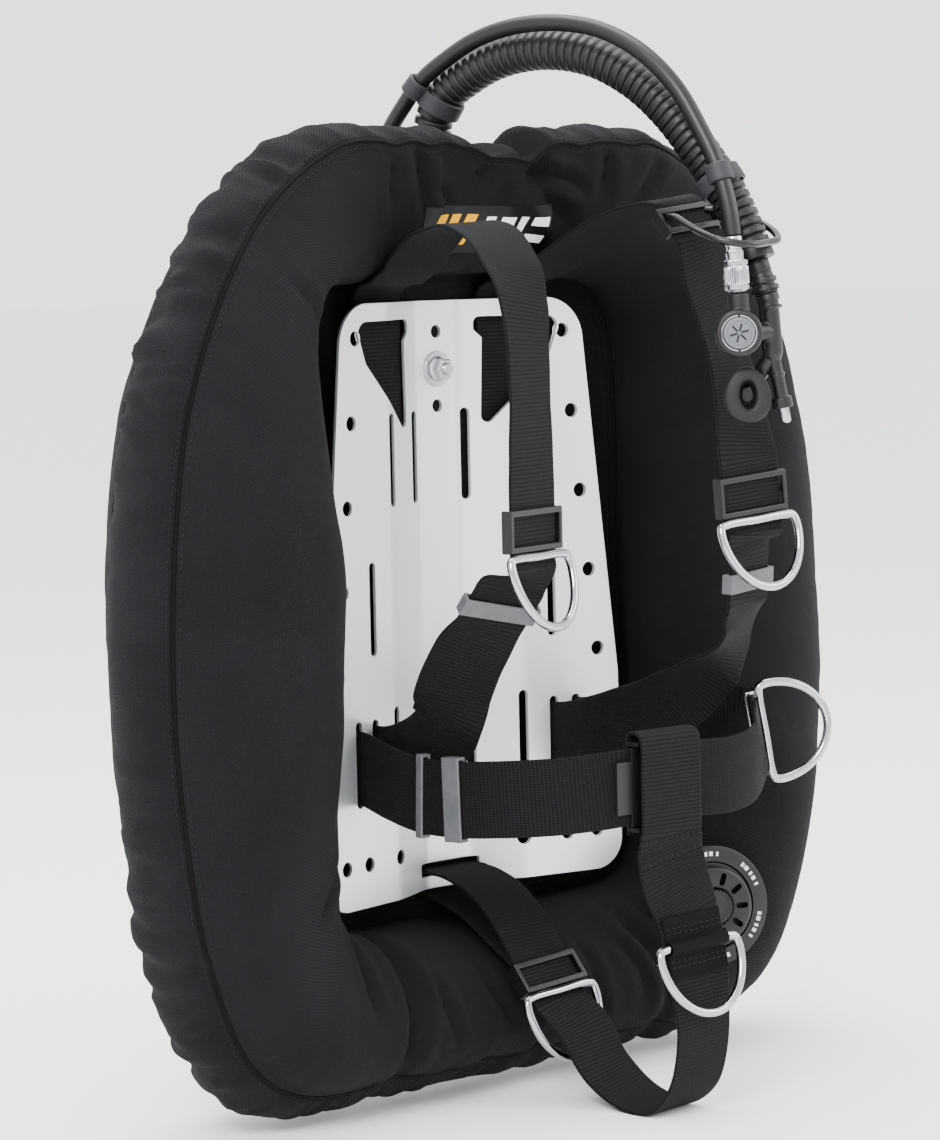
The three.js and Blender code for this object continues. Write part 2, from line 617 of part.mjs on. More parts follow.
const LEFT_SHOULDER = [
  [60, -14, 62, 48.9, -10.6, 0], [60, -15, 120, 48.9, -10.6, 0],
  [60, -15, 180, 48.9, -10.6, 0], [60, -15.4, 189, 48.9, -10.6, 0],
  [61, -24, 196.5, 49.5, -8, 1], [62, -40, 201, 50, -6, 2],
  [64, -60, 210, 50, -3, 0], [67, -80, 223, 50, 0, 2], [71, -105, 237, 50, 1, 3],
  [77, -134, 248, 50, 4, 4], ...straightRun(BUNGEE_SLIDE, [16, 8, 0, -8, -16]),
  [93, -174, 200, 49, 8, 3], [99, -178, 175, 49, 8, 1],
  [102, -186, 146, 49, 8, -2], [103, -195, 110, 50, 3, 0],
  ...straightRun(LEFT_SLIDE, RUN),
  [104.5, -199, 22, 49, 4, 3], ...straightRun(LEFT_KEEPER, [18, 9, 0, -9, -16]),
  [108, -188, -32, 40, 24, -14], [107, -177, -52, 29, 27, -30],
  [101, -160, -72, 28, 17, -38], [93, -135, -90, 24, 4, -42],
  [87, -90, -108, 12, 0, -48], [83.5, -50, -119, 2, 0, -50], ...slotEnd(1)];

add("shoulder_strap_right", webbing(RIGHT_SHOULDER, 72), WEBBING);
add("shoulder_strap_left", webbing(LEFT_SHOULDER, 72), WEBBING);
add("shoulder_slide_right", slide(RIGHT_SLIDE), BLACK_STEEL);
add("shoulder_slide_left", slide(LEFT_SLIDE), BLACK_STEEL);
add("bungee_slide", slide(BUNGEE_SLIDE, 20), BLACK_STEEL);
add("shoulder_ring_right", dRing(ringFrame(RIGHT_SLIDE, RING_REACH, [0.05, -0.28, -0.96])), STEEL);
add("shoulder_ring_left", dRing(ringFrame(LEFT_SLIDE, RING_REACH, [0.08, -0.28, -0.96])), STEEL);

// Waist straps, out through the outer waist slots to the buckle at the front.
const slotStart = (side, z) => [[92.1, -27.6], [97.8, -28.1], [100.4, -30], [101, -33],
  [101.2, -38]].map(([x, y]) => [side * x, y, z, 0, 0, -1]);
const HIP = frameAt([121, -190, -110], [0.12, -0.1, -0.98], [0.75, -0.66, 0]);
const BUCKLE = frameAt([-12, -228, -125], [0, 0, -1], [-0.08, -1, 0]);
const RIGHT_WAIST = [...slotStart(-1, -123), [-106, -70, -129, 0, 0, -1],
  [-111, -105, -133, 0, 0, -1], [-110, -140, -133, 0, 0, -1], [-101, -172, -131, 0, 0, -1],
  [-82, -200, -129, 0, 0, -1], [-60, -216, -127, 0, 0, -1],
  ...straightRun(BUCKLE, [-32, -24, -16, -8, -0.3])];
const LEFT_WAIST = [...straightRun(BUCKLE, [0.3, 6, 12, 18, 26, 34]),
  [48, -231, -126, 0, 0, -1], [74, -225, -124, 0, 0, -1], [94, -215, -119, 0, 0, -1],
  ...straightRun(HIP, [-20, -10, 0, 10, 20, 28, 34]), [142, -148, -106, 0, 0, -1],
  [135, -118, -108, 0, 0, -1], [119, -80, -114, 0, 0, -1],
  [105, -52, -118, 0, 0, -1], ...slotStart(1, -119).reverse()];
add("waist_strap_right", webbing(RIGHT_WAIST, 44), WEBBING);
add("waist_strap_left", webbing(LEFT_WAIST, 52), WEBBING);
add("hip_slide", slide(HIP.clone().multiply(new THREE.Matrix4().makeTranslation(0, 14, 0)), 22),
  STEEL);
add("hip_ring", dRing(ringFrame(HIP, 0, [0.9, -0.42, -0.05])), STEEL);

const onFrame = (frame, x, y, z) => new THREE.Vector3(x, y, z).applyMatrix4(frame).toArray();
const placed = (frame, ...geometries) => union(...geometries.map((g) => g.applyMatrix4(frame)));

// Cam buckle: the frame lies behind the two strap ends, the lever in front of them.
const BUCKLE_SHEET = 2;
const EAR = 29;
const PIN_Z = 4.6;
const PIN_Y = 20;
const across = (y, z, radius, half, sides = 12) => rod([-half, y, z], [half, y, z], radius, sides);
const strapTop = WEB_THICK / 2 + GAP;
add("buckle_frame", shape(placed(BUCKLE,
  box(-EAR, EAR, -27, 25, -strapTop - BUCKLE_SHEET, -strapTop),
  box(-EAR, 0.6 - WEB_WIDTH / 2 - 2, -27, 25, -strapTop - BUCKLE_SHEET, 7.4),
  box(WEB_WIDTH / 2 + 1.4, EAR, -27, 25, -strapTop - BUCKLE_SHEET, 7.4))
  .subtract(placed(BUCKLE, across(PIN_Y, PIN_Z, 1.2 + GAP, 40)))), STEEL);
add("buckle_lever", shape(placed(BUCKLE,
  box(-25.5, 25.5, -28, PIN_Y, strapTop + GAP, strapTop + GAP + 1.8),
  box(-17, 17, -40, -27, strapTop + GAP, strapTop + GAP + 1.8),
  across(PIN_Y, PIN_Z, 2.7, 25.5))
  .subtract(placed(BUCKLE, across(PIN_Y, PIN_Z, 1.2 + GAP, 40)))), STEEL);
add("buckle_pin", shape(placed(BUCKLE, across(PIN_Y, PIN_Z, 1.2, EAR + 1.6),
  rod([EAR + GAP, PIN_Y, PIN_Z], [EAR + 1.6, PIN_Y, PIN_Z], 2.2, 12),
  rod([-EAR - 1.6, PIN_Y, PIN_Z], [-EAR - GAP, PIN_Y, PIN_Z], 2.2, 12))), STEEL);

// Crotch strap: doubled from the rear slide to the plate, where it wraps the plate's lower
// edge, then down, forward and up to the loop that the waist strap passes through.
const REAR_SLIDE = frameAt([-5, -110, -266], [1, 0.05, 0.05], [-0.1, -0.79, 0.58]);
const FRONT_TAB = frameAt([9, -234, -232], [1, -0.1, 0.06], [-0.1, -0.98, 0.16]);
const LAYER = (WEB_THICK + 2 * GAP) / 2;
const wide = (points) => points.map((p) => [...p, 1, 0, 0]);
const loop = [[34, 8.2], [27, 9.8], [14, 9.8], [0, 9.8], [-14, 9.8], [-27, 9.8], [-32.5, 7.4],
  [-34.6, 1.4], [-33.2, -3.8], [-28, -5.2], [-14, -5.2], [0, -5.2], [14, -5.2], [28, -5.2],
  [32, -5.2]].map(([x, z]) => [...onFrame(BUCKLE, x, 0, z), 1, -0.08, 0]);
const CROTCH = [
  ...straightRun(REAR_SLIDE, [-11, -4, 4, 12], LAYER),
  ...wide([[-6, -86, -233], [-6, -64, -215], [-4, -38, -206.5], [-2, -20, -204.8],
    [0, -12, -204.6], [0, -7.5, -204.6], [0, -4.6, -204.9], [0, -3.15, -206.8],
    [0, -3.05, -211], [0, -3.1, -216.8], [0, -4.0, -219.4], [0, -6.5, -220.3],
    [0, -14, -221.5], [-3, -34, -225], [-5, -58, -233], [-6, -80, -245]]),
  ...straightRun(REAR_SLIDE, [12, 4, -4, -11, -18], -LAYER),
  [2, -136, -298, 49, 5, 8], [6, -154, -325, 49, 8, 8], [12, -178, -343, 49, 8, 4],
  [14, -205, -346, 49, 6, 0], [13, -228, -328, 49, 2, 0], [12, -239, -291, 50, 2, 1],
  ...straightRun(FRONT_TAB, [-18, -9, 0, 9, 18]),
  [-4, -231, -187, 49, -10, -3], [-10, -233, -168, 49, -8, 0], ...loop];
add("crotch_strap", webbing(CROTCH, 110), WEBBING);
const REAR_OVER = LAYER + WEB_THICK / 2 + GAP;
add("crotch_slide", slide(REAR_SLIDE, 22, REAR_OVER), BLACK_STEEL);
add("crotch_ring_rear",
  dRing(ringFrame(REAR_SLIDE, -14.4, [0.1, -0.3, -0.95], REAR_OVER)), STEEL);
add("crotch_ring_front", dRing(ringFrame(FRONT_TAB, 0, [0.05, -0.3, -0.95])), STEEL);
const TAB = [[20, 2.65], [6, 2.65], [4.6, 5.2], [2.9, 8], [0, 9.2], [-2.9, 8], [-4.6, 5.2],
  [-6, 2.65], [-20, 2.65], [-20, 1.45], [-5, 1.45], [-3.5, 4.45], [-2.5, 7], [0, 8],
  [2.5, 7], [3.5, 4.45], [5, 1.45], [20, 1.45]];
const tabShape = new THREE.Shape(TAB.map(([y, z]) => new THREE.Vector2(y, z)));
add("crotch_ring_tab", shape(solid(
  new THREE.ExtrudeGeometry(tabShape, { depth: 48, bevelEnabled: false })
    .translate(0, 0, -24)
    .applyMatrix4(new THREE.Matrix4().makeBasis(
      new THREE.Vector3(0, 1, 0), new THREE.Vector3(0, 0, 1), new THREE.Vector3(1, 0, 0)))
    .applyMatrix4(FRONT_TAB))), WEBBING);

// Rubber keepers.
add("strap_keeper_right", keeper(RIGHT_KEEPER, 13), RUBBER);
add("strap_keeper_left", keeper(LEFT_KEEPER, 13), RUBBER);
add("waist_keeper_outer", keeper(frameOnStrap(RIGHT_WAIST, [-110, -108, -133]), 6), RUBBER);
add("waist_keeper_inner", keeper(frameOnStrap(RIGHT_WAIST, [-110, -138, -133]), 14), RUBBER);

// Hoses.
const CORRUGATED = [[26, 21, 292.6], [26, 21, 298], [26, 20, 304], [26.5, 16.5, 314], [29, 8, 327],
  [34, -8, 338], [40, -29, 348], [47, -53, 353], [54, -77, 353], [61, -101, 348],
  [67, -121, 339], [73, -140, 326], [78, -158, 309], [82, -173, 291], [86, -187, 272],
  [90, -199, 253], [93, -209, 232], [95.3, -216.4, 213], [95.7, -217.7, 209.4]];
const CUFF_TOP = [95.8, -218, 209];
const NECK_TOP = [98, -225, 187];
const LP_HOSE = [[69.9, -221.3, 226.4], [69.4, -220, 238], [68.6, -216.5, 254], [67.4, -209, 275],
  [65, -199, 295], [60.5, -182, 323], [56, -161, 344], [51, -139, 358], [45, -115, 367],
  [37, -83, 371], [30, -53, 369], [24, -27, 362], [19, -5, 351], [14, 16, 337],
  [10, 32, 319], [7, 44, 302], [5, 51, 284], [4, 54, 262], [3, 55, 235], [2, 55, 205],
  [2, 55, 175], [2, 55, 150]];
const HOSE_END = [2, 55, 149.7];
const hoseLine = (points) => new THREE.CatmullRomCurve3(points.map(vec), false, "centripetal");

// A keeper round both hoses: two short collars and the web between them.
function hoseKeeper(nearCorrugated) {
  const target = vec(nearCorrugated);
  const closest = (points, to) => {
    const line = hoseLine(points);
    let best = 0;
    for (let t = 0; t <= 1; t += 0.002) {
      if (line.getPoint(t).distanceTo(to) < line.getPoint(best).distanceTo(to)) best = t;
    }
    return { at: line.getPoint(best), run: line.getTangent(best) };
  };
  const big = closest(CORRUGATED, target);
  const small = closest(LP_HOSE, big.at);
  const collar = ({ at, run }, radius, half) => rod(
    at.clone().addScaledVector(run, -half).toArray(),
    at.clone().addScaledVector(run, half).toArray(), radius, 12);
  const web = rod(big.at.toArray(), small.at.toArray(), 5, 8);
  const room = 1.4;
  return union(collar(big, CORRUGATED_RADIUS + 3, 6), collar(small, LP_RADIUS + 3, 6), web)
    .subtract(solid(collar(big, CORRUGATED_RADIUS + room, 30)))
    .subtract(solid(collar(small, LP_RADIUS + room, 30)));
}

add("hose_elbow", shape(union(
  rod([26, ELBOW_AT[1] + GAP, 262], [26, 7, 262], ELBOW_FLANGE, 20),
  rod([26, 5, 262], [26, 22, 262], 12, 12),
  rod([26, 21, 258], ELBOW_OUT, 12, 12),
  new THREE.SphereGeometry(12, 12, 6).translate(26, 21.5, 262))), PLASTIC);
add("corrugated_hose", cord(CORRUGATED, CORRUGATED_RADIUS, 20, 10), HOSE);
add("lp_hose", cord(LP_HOSE, LP_RADIUS, 34, 8), HOSE);
add("lp_fitting", shape(union(rod(HOSE_END, [2, 55, 128], 8, 16),
  rod([2, 55, 134], [2, 55, 124], 9.5, 6), rod([2, 55, 125], [2, 55, 112], 4.8, 16))), STEEL);
add("hose_keeper_upper", shape(hoseKeeper([27.5, 13, 321])), RUBBER);
add("hose_keeper_lower", shape(hoseKeeper([88.5, -194, 261])), RUBBER);

// Power inflator.
const FACING = vec([-0.7, -0.71, 0.05]).normalize();
const HOUSING = [71.5, -224, 162];
const QD_TOP = [70, -221.5, 226];
const QD_BOTTOM = [71.3, -225, 176];
const STEM_TOP = [100.3, -227.5, 148];
const STEM_END = [105, -232, 112];
const MOUTH = [81.5, -222, 121.5];
const along = (from, dir, reach) => vec(from).addScaledVector(dir, reach).toArray();
const between = (a, b, share) => vec(a).lerp(vec(b), share).toArray();
const CUFF_AXIS = vec(NECK_TOP).sub(vec(CUFF_TOP)).normalize();
const QD_AXIS = vec(QD_TOP).sub(vec(QD_BOTTOM)).normalize();
const qd = (from, to, radius, sides = 16) =>
  rod(along(QD_BOTTOM, QD_AXIS, from), along(QD_BOTTOM, QD_AXIS, to), radius, sides);
const STEM_AXIS = vec(STEM_END).sub(vec(STEM_TOP)).normalize();
const MOUTH_BACK = along(MOUTH, FACING, -18);
add("hose_cuff", rod(CUFF_TOP, NECK_TOP, 8, 20), HOSE);
for (const [place, share] of [["upper", 0.62], ["lower", 0.86]]) {
  add(`hose_tie_${place}`, shape(solid(
    rod(between(CUFF_TOP, NECK_TOP, share - 0.07), between(CUFF_TOP, NECK_TOP, share + 0.07), 9.8))
    .subtract(solid(rod(CUFF_TOP, NECK_TOP, 8 + GAP)))), BLACK_STEEL);
}
const BUTTON_RADIUS = 10.5;
add("inflator_body", shape(union(
  rod(along(NECK_TOP, CUFF_AXIS, GAP), along(NECK_TOP, CUFF_AXIS, 5), 7.4),
  rod(along(NECK_TOP, CUFF_AXIS, 3), STEM_TOP, 6.8),
  rod(STEM_TOP, between(STEM_TOP, STEM_END, 0.15), 6.8, 16, 4.5),
  rod(STEM_TOP, STEM_END, 4.5, 12),
  rod(between(STEM_TOP, STEM_END, 0.8), STEM_END, 6.6),
  rod(along(HOUSING, FACING, -11), along(HOUSING, FACING, 11), 15.5, 20),
  rod(HOUSING, [99.6, -226.8, 162], 6.5, 12),
  qd(-6, 12, 7.4), qd(10, 24, 4),
  rod(STEM_TOP, MOUTH_BACK, 5.2, 12), rod(MOUTH_BACK, along(MOUTH, FACING, -5), 5.2, 12))
  .subtract(solid(rod(along(HOUSING, FACING, 4.5), along(HOUSING, FACING, 14),
    BUTTON_RADIUS + GAP, 16)))
  .subtract(solid(rod(between(STEM_TOP, STEM_END, 0.85), along(STEM_END, STEM_AXIS, 5),
    3.7, 12)))), PLASTIC);
add("inflate_button", rod(along(HOUSING, FACING, 8), along(HOUSING, FACING, 12.5),
  BUTTON_RADIUS, 16), STEEL);
add("deflate_button", rod(along(STEM_END, STEM_AXIS, -1.2), along(STEM_END, STEM_AXIS, 10),
  3.4, 12), STEEL);
add("qd_coupler", shape(union(qd(13, 49.8, 6)).subtract(solid(qd(5, 38, 4.3)))), STEEL);
add("qd_collar", shape(solid(qd(14, 34, 8.6, 20)).subtract(solid(qd(5, 45, 6.3, 20)))), STEEL);
const MOUTH_FRAME = frameAt(MOUTH, [0.68, -0.72, -0.25], FACING.toArray());
function mouthpiece() {
  const rim = new THREE.Shape(arc(0, 0, 1, 0, 337.5, 15)
    .map(([x, y]) => new THREE.Vector2(x * (15.5 - 2 * y), y * 18.5)));
  const bite = new THREE.ExtrudeGeometry(rim, { depth: 6, bevelEnabled: false })
    .translate(0, 0, -6).applyMatrix4(MOUTH_FRAME);
  const tube = rod(along(MOUTH, FACING, -9), along(MOUTH, FACING, -4), 8);
  const bore = rod(along(MOUTH, FACING, -20), along(MOUTH, FACING, 5), 5.2 + GAP);
  return union(bite, tube).subtract(solid(bore));
}
add("mouthpiece", shape(mouthpiece()), RUBBER);

// Bungee loop that holds both hoses to the strap.
const BUNGEE = [[64.2, -168.5, 239], [60, -179.4, 238.6], [56, -193, 234], [53, -208, 229],
  [55, -222, 224], [63, -232, 221], [74, -236, 220], [90, -233, 221], [105, -229, 223],
  [113, -217, 229], [114, -202, 235], [107, -189, 240], [102, -177, 242.6], [100.3, -168.9, 243.5]];
add("bungee_loop", cord(BUNGEE, BUNGEE_RADIUS, 22, 8), HOSE);

export default vest;
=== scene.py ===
# A buoyancy compensator vest: doughnut wing, bent aluminium backplate and one-piece webbing
# harness, with its power inflator hose and dump valve. Metres, +Z up, the diver on the -Y side.
import json
import math
import bmesh
import bpy
import numpy as np
from mathutils import Matrix, Vector, noise
from mathutils.bvhtree import BVHTree

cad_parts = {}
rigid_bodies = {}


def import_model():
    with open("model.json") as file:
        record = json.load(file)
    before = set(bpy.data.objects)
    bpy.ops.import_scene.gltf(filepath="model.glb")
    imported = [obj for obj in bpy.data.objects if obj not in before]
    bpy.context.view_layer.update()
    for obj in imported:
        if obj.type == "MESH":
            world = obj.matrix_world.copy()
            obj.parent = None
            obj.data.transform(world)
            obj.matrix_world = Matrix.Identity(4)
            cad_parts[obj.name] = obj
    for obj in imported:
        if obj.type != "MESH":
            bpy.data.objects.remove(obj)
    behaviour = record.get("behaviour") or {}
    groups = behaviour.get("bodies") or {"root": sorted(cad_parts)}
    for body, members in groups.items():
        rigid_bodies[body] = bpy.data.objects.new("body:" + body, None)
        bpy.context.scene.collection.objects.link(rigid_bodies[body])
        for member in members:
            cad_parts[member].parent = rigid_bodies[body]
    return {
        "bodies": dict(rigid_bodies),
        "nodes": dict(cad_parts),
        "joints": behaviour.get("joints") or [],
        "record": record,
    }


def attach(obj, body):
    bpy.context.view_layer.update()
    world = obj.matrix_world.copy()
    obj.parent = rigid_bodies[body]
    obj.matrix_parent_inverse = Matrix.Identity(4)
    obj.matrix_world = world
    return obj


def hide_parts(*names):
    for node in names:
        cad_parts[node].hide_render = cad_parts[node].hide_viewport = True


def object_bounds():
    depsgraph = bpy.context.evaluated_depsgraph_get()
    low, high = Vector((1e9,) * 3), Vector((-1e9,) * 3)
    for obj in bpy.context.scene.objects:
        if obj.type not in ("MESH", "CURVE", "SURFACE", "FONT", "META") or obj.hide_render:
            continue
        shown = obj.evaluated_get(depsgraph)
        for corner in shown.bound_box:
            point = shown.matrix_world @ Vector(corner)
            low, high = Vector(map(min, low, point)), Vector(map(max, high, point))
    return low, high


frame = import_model()
cad_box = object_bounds()
VEST = "vest"
MM = 0.001

# ---- Camera
# Stands in front and to the diver's right, a little above the middle, with a long lens.
camera = bpy.data.objects.new("camera", bpy.data.cameras.new("camera"))
bpy.context.scene.collection.objects.link(camera)
camera.data.lens, camera.data.sensor_width = 120.44, 36
camera.location = (-1.7529, -1.9439, 0.2253)
azimuth, elevation, roll = math.radians(42.59), math.radians(4.91), math.radians(-1.24)
looking = Vector((math.sin(azimuth) * math.cos(elevation),
                  math.cos(azimuth) * math.cos(elevation), -math.sin(elevation)))
camera.rotation_mode = "QUATERNION"
camera.rotation_quaternion = looking.to_track_quat("-Z", "Y") @ Matrix.Rotation(
    roll, 4, "Z").to_quaternion()
bpy.context.scene.camera = camera


# ---- Corrugated hose
# Moulded EPDM bellows, about 26 mm across, from the elbow behind the top of the wing, over the
# shoulder, to the inflator on the chest. Its rings are 6 mm apart; both ends are plain cuffs.
def linear(code):
    """An sRGB hex colour as a linear one."""
    parts = [int(code[i:i + 2], 16) / 255 for i in (1, 3, 5)]
    return (*[c / 12.92 if c <= 0.04045 else ((c + 0.055) / 1.055) ** 2.4 for c in parts], 1)


def add(tree, kind, inputs=None, **settings):
    """Adds a node with its settings, and links or fills its inputs. A node given as an input
    stands for its first output."""
    made = tree.nodes.new(kind)
    for name, value in settings.items():
        setattr(made, name, value)
    for name, value in (inputs or {}).items():
        if isinstance(value, bpy.types.Node):
            value = value.outputs[0]
        if isinstance(value, bpy.types.NodeSocket):
            tree.links.new(value, made.inputs[name])
        else:
            made.inputs[name].default_value = value
    return made


def op(tree, operation, a, b=0.0):
    return add(tree, "ShaderNodeMath", {0: a, 1: b}, operation=operation)


def finish(name, **values):
    """A material with one Principled shader; a Base_Color is an sRGB hex colour."""
    made = bpy.data.materials.new(name)
    made.use_nodes = True
    for socket, value in values.items():
        value = linear(value) if socket == "Base_Color" else value
        shader_of(made).inputs[socket.replace("_", " ")].default_value = value
    return made


def shader_of(material):
    return material.node_tree.nodes["Principled BSDF"]


def drive(material, socket, node):
    material.node_tree.links.new(node.outputs[0], shader_of(material).inputs[socket])


def toned(material, value, dark, light, end=1.0):
    """Colours a material by a value from 0 to its end, from a dark tone to a light one."""
    ramp = add(material.node_tree, "ShaderNodeValToRGB", {"Fac": value})
    for stop, code, at in zip(ramp.color_ramp.elements, (dark, light), (0, end)):
        stop.color, stop.position = linear(code), at
    drive(material, "Base Color", ramp)


def noisy(material, sizes, relief=None, rough=None, tones=None):
    """Breaks a material up with noise of these sizes (scale, detail, roughness): its relief
    (strength, distance in metres), its range of roughness and its two tones."""
    tree = material.node_tree
    grain = add(tree, "ShaderNodeTexNoise", dict(zip(("Scale", "Detail", "Roughness"), sizes)))
    tree.links.new(add(tree, "ShaderNodeTexCoord").outputs["Object"], grain.inputs["Vector"])
    if relief:
        drive(material, "Normal", add(tree, "ShaderNodeBump", {
            "Height": grain, "Strength": relief[0], "Distance": relief[1]}))
    if rough:
        drive(material, "Roughness", add(tree, "ShaderNodeMapRange", {
            "Value": grain, "To Min": rough[0], "To Max": rough[1]}))
    if tones:
        toned(material, grain, *tones)
    return material


def show(piece, name, material=None, body=VEST, nodes=()):
    """Names a finished piece, rides it on its body and lets it stand for its CAD nodes."""
    piece.name = name
    if material:
        piece.data.materials.clear()
        piece.data.materials.append(material)
    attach(piece, body)
    if nodes:
        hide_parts(*nodes)
    return piece


def placed(name, data):
    made = bpy.data.objects.new(name, data)
    bpy.context.scene.collection.objects.link(made)
    return made


def centripetal(points, share):
    """A point on the smooth line through the points, for a share of their count from 0 to 1."""
    points = np.asarray(points, float)
    place = share * (len(points) - 1)
    low = min(int(place), len(points) - 2)
    w = place - low
    p1, p2 = points[low], points[low + 1]
    p0 = points[low - 1] if low > 0 else 2 * p1 - p2
    p3 = points[low + 2] if low + 2 < len(points) else 2 * p2 - p1
    gaps = [max(float(np.dot(b - a, b - a)) ** 0.25, 1e-6) for a,
            b in ((p0, p1), (p1, p2), (p2, p3))]
    t1 = ((p1 - p0) / gaps[0] - (p2 - p0) / (gaps[0] + gaps[1]) + (p2 - p1) / gaps[1]) * gaps[1]
    t2 = ((p2 - p1) / gaps[1] - (p3 - p1) / (gaps[1] + gaps[2]) + (p3 - p2) / gaps[2]) * gaps[1]
    c2 = -3 * p1 + 3 * p2 - 2 * t1 - t2
    c3 = 2 * p1 - 2 * p2 + t1 + t2
    return p1 + t1 * w + c2 * w * w + c3 * w ** 3


def spaced(points, step):
    """Points a step apart along the smooth line through the points."""
    fine = np.array([centripetal(points, i / 1500) for i in range(1501)])
    along = np.concatenate([[0], np.cumsum(np.linalg.norm(np.diff(fine, axis=0), axis=1))])
    at = np.linspace(0, along[-1], max(2, round(along[-1] / step) + 1))
    return np.stack([np.interp(at, along, fine[:, k]) for k in range(3)], axis=1)


def curve(name, line, radius=0.0, cyclic=False, resolution=5):
    """A round wire or cord along a line, as a curve object."""
    data = bpy.data.curves.new(name, "CURVE")
    data.dimensions = "3D"
    spline = data.splines.new("POLY")
    spline.points.add(len(line) - 1)
    spline.points.foreach_set("co", np.c_[line, np.ones(len(line))].ravel())
    spline.use_cyclic_u = cyclic
    spline.use_smooth = True
    data.bevel_depth = radius
    data.bevel_resolution = resolution
    data.use_fill_caps = True
    return placed(name, data)


def meshed(piece):
    """The evaluated piece as a plain mesh object; the piece itself is removed."""
    bpy.context.view_layer.update()
    seen = piece.evaluated_get(bpy.context.evaluated_depsgraph_get())
    made = placed(piece.name + "_mesh", bpy.data.meshes.new_from_object(seen))
    bpy.data.objects.remove(piece)
    return made


def grown(name, tree, source, **inputs):
    """A Geometry Nodes tree run on a source object, as a plain mesh."""
    modifier = source.modifiers.new("grow", "NODES")
    modifier.node_group = tree
    for item in tree.interface.items_tree:
        if item.item_type == "SOCKET" and item.in_out == "INPUT" and item.name in inputs:
            modifier[item.identifier] = inputs[item.name]
    made = meshed(source)
    made.name = name
    return made


def geometry_tree(name, **sockets):
    """An empty Geometry Nodes tree with a geometry socket each way and the named inputs."""
    tree = bpy.data.node_groups.new(name, "GeometryNodeTree")
    tree.interface.new_socket("Geometry", in_out="INPUT", socket_type="NodeSocketGeometry")
    tree.interface.new_socket("Geometry", in_out="OUTPUT", socket_type="NodeSocketGeometry")
    for socket, kind in sockets.items():
        tree.interface.new_socket(socket, in_out="INPUT", socket_type="NodeSocket" + kind)
    return tree, tree.nodes.new("NodeGroupInput"), tree.nodes.new("NodeGroupOutput")


def finished(tree, shape, material, out):
    """Ends a Geometry Nodes tree: the shape made real and smooth, with its material."""
    real = add(tree, "GeometryNodeRealizeInstances", {"Geometry": shape})
    smooth = add(tree, "GeometryNodeSetShadeSmooth", {"Geometry": real})
    coat = add(tree, "GeometryNodeSetMaterial", {"Geometry": smooth, "Material": material})
    tree.links.new(coat.outputs["Geometry"], out.inputs["Geometry"])


# EPDM rubber, moulded: near black, a soft broad shine, faint flow marks and dust in the grooves.
bellows_rubber = noisy(finish("moulded_epdm_rubber", Roughness=0.42, IOR=1.52,
                              Specular_IOR_Level=0.3),
                       (900, 3), relief=(0.25, 0.0002))
noisy(bellows_rubber, (60, 4), tones=("#050506", "#141517"))

HOSE_RADIUS, RING_PITCH, RING_DEPTH, PLAIN_END = 0.0134, 0.0063, 0.0031, 0.009
HOSE_ROUTE = np.array([
    (26, 21, 292.6), (26, 21, 298), (26, 20, 304), (26.5, 16.5, 314), (29, 8, 327), (34, -8, 338),
    (40, -29, 348), (47, -53, 353), (54, -77, 353), (61, -101, 348), (67, -121, 339),
    (73, -140, 326), (78, -158, 309), (82, -173, 291), (86, -187, 272), (90, -199, 253),
    (93, -209, 232), (95.3, -216.4, 213), (95.7, -217.7, 209.4)]) * MM
hose_line = spaced(HOSE_ROUTE, 0.002)

tree, given, out = geometry_tree("bellows_hose", Radius="Float", Pitch="Float", Depth="Float",
                                 Plain="Float", Material="Material")
inp = given.outputs
fine = add(tree, "GeometryNodeResampleCurve", {
    "Curve": inp["Geometry"], "Length": op(tree, "DIVIDE", inp["Pitch"], 10.0)}, mode="LENGTH")
run = add(tree, "GeometryNodeSplineParameter").outputs["Length"]
total = add(tree, "GeometryNodeSplineLength").outputs["Length"]
turns = op(tree, "MULTIPLY", op(tree, "DIVIDE", run, inp["Pitch"]), 2 * math.pi)
# A ring's crown is broad and its groove narrow.
groove = add(tree, "ShaderNodeMapRange", {
    "Value": op(tree, "COSINE", turns), "From Min": 0.25, "From Max": 0.8},
    interpolation_type="SMOOTHSTEP")
end = op(tree, "MINIMUM", run, op(tree, "SUBTRACT", total, run))
ringed = op(tree, "GREATER_THAN", end, inp["Plain"])
sunk = op(tree, "MULTIPLY", op(tree, "MULTIPLY", groove, inp["Depth"]), ringed)
section = add(tree, "GeometryNodeCurvePrimitiveCircle", {"Resolution": 28, "Radius": 1.0})
tube = add(tree, "GeometryNodeCurveToMesh", {
    "Curve": fine, "Profile Curve": section, "Fill Caps": True,
    "Scale": op(tree, "SUBTRACT", inp["Radius"], sunk)})
finished(tree, tube, inp["Material"], out)

hose = grown("inflator_hose", tree, curve("hose_route", hose_line), Radius=HOSE_RADIUS,
             Pitch=RING_PITCH, Depth=RING_DEPTH, Plain=PLAIN_END, Material=bellows_rubber)
show(hose, "inflator_hose", None, nodes=["corrugated_hose"])

# ---- Low-pressure hose
# A reinforced rubber gas hose, 11.5 mm across, from the quick-disconnect on the inflator, over the
# shoulder and down behind the wing, where its swivel fitting hangs.
gas_rubber = noisy(finish("extruded_nitrile_rubber", IOR=1.52, Specular_IOR_Level=0.35,
                          Base_Color="#08080a"),
                   (450, 5, 0.6), relief=(0.2, 0.0002), rough=(0.3, 0.5))

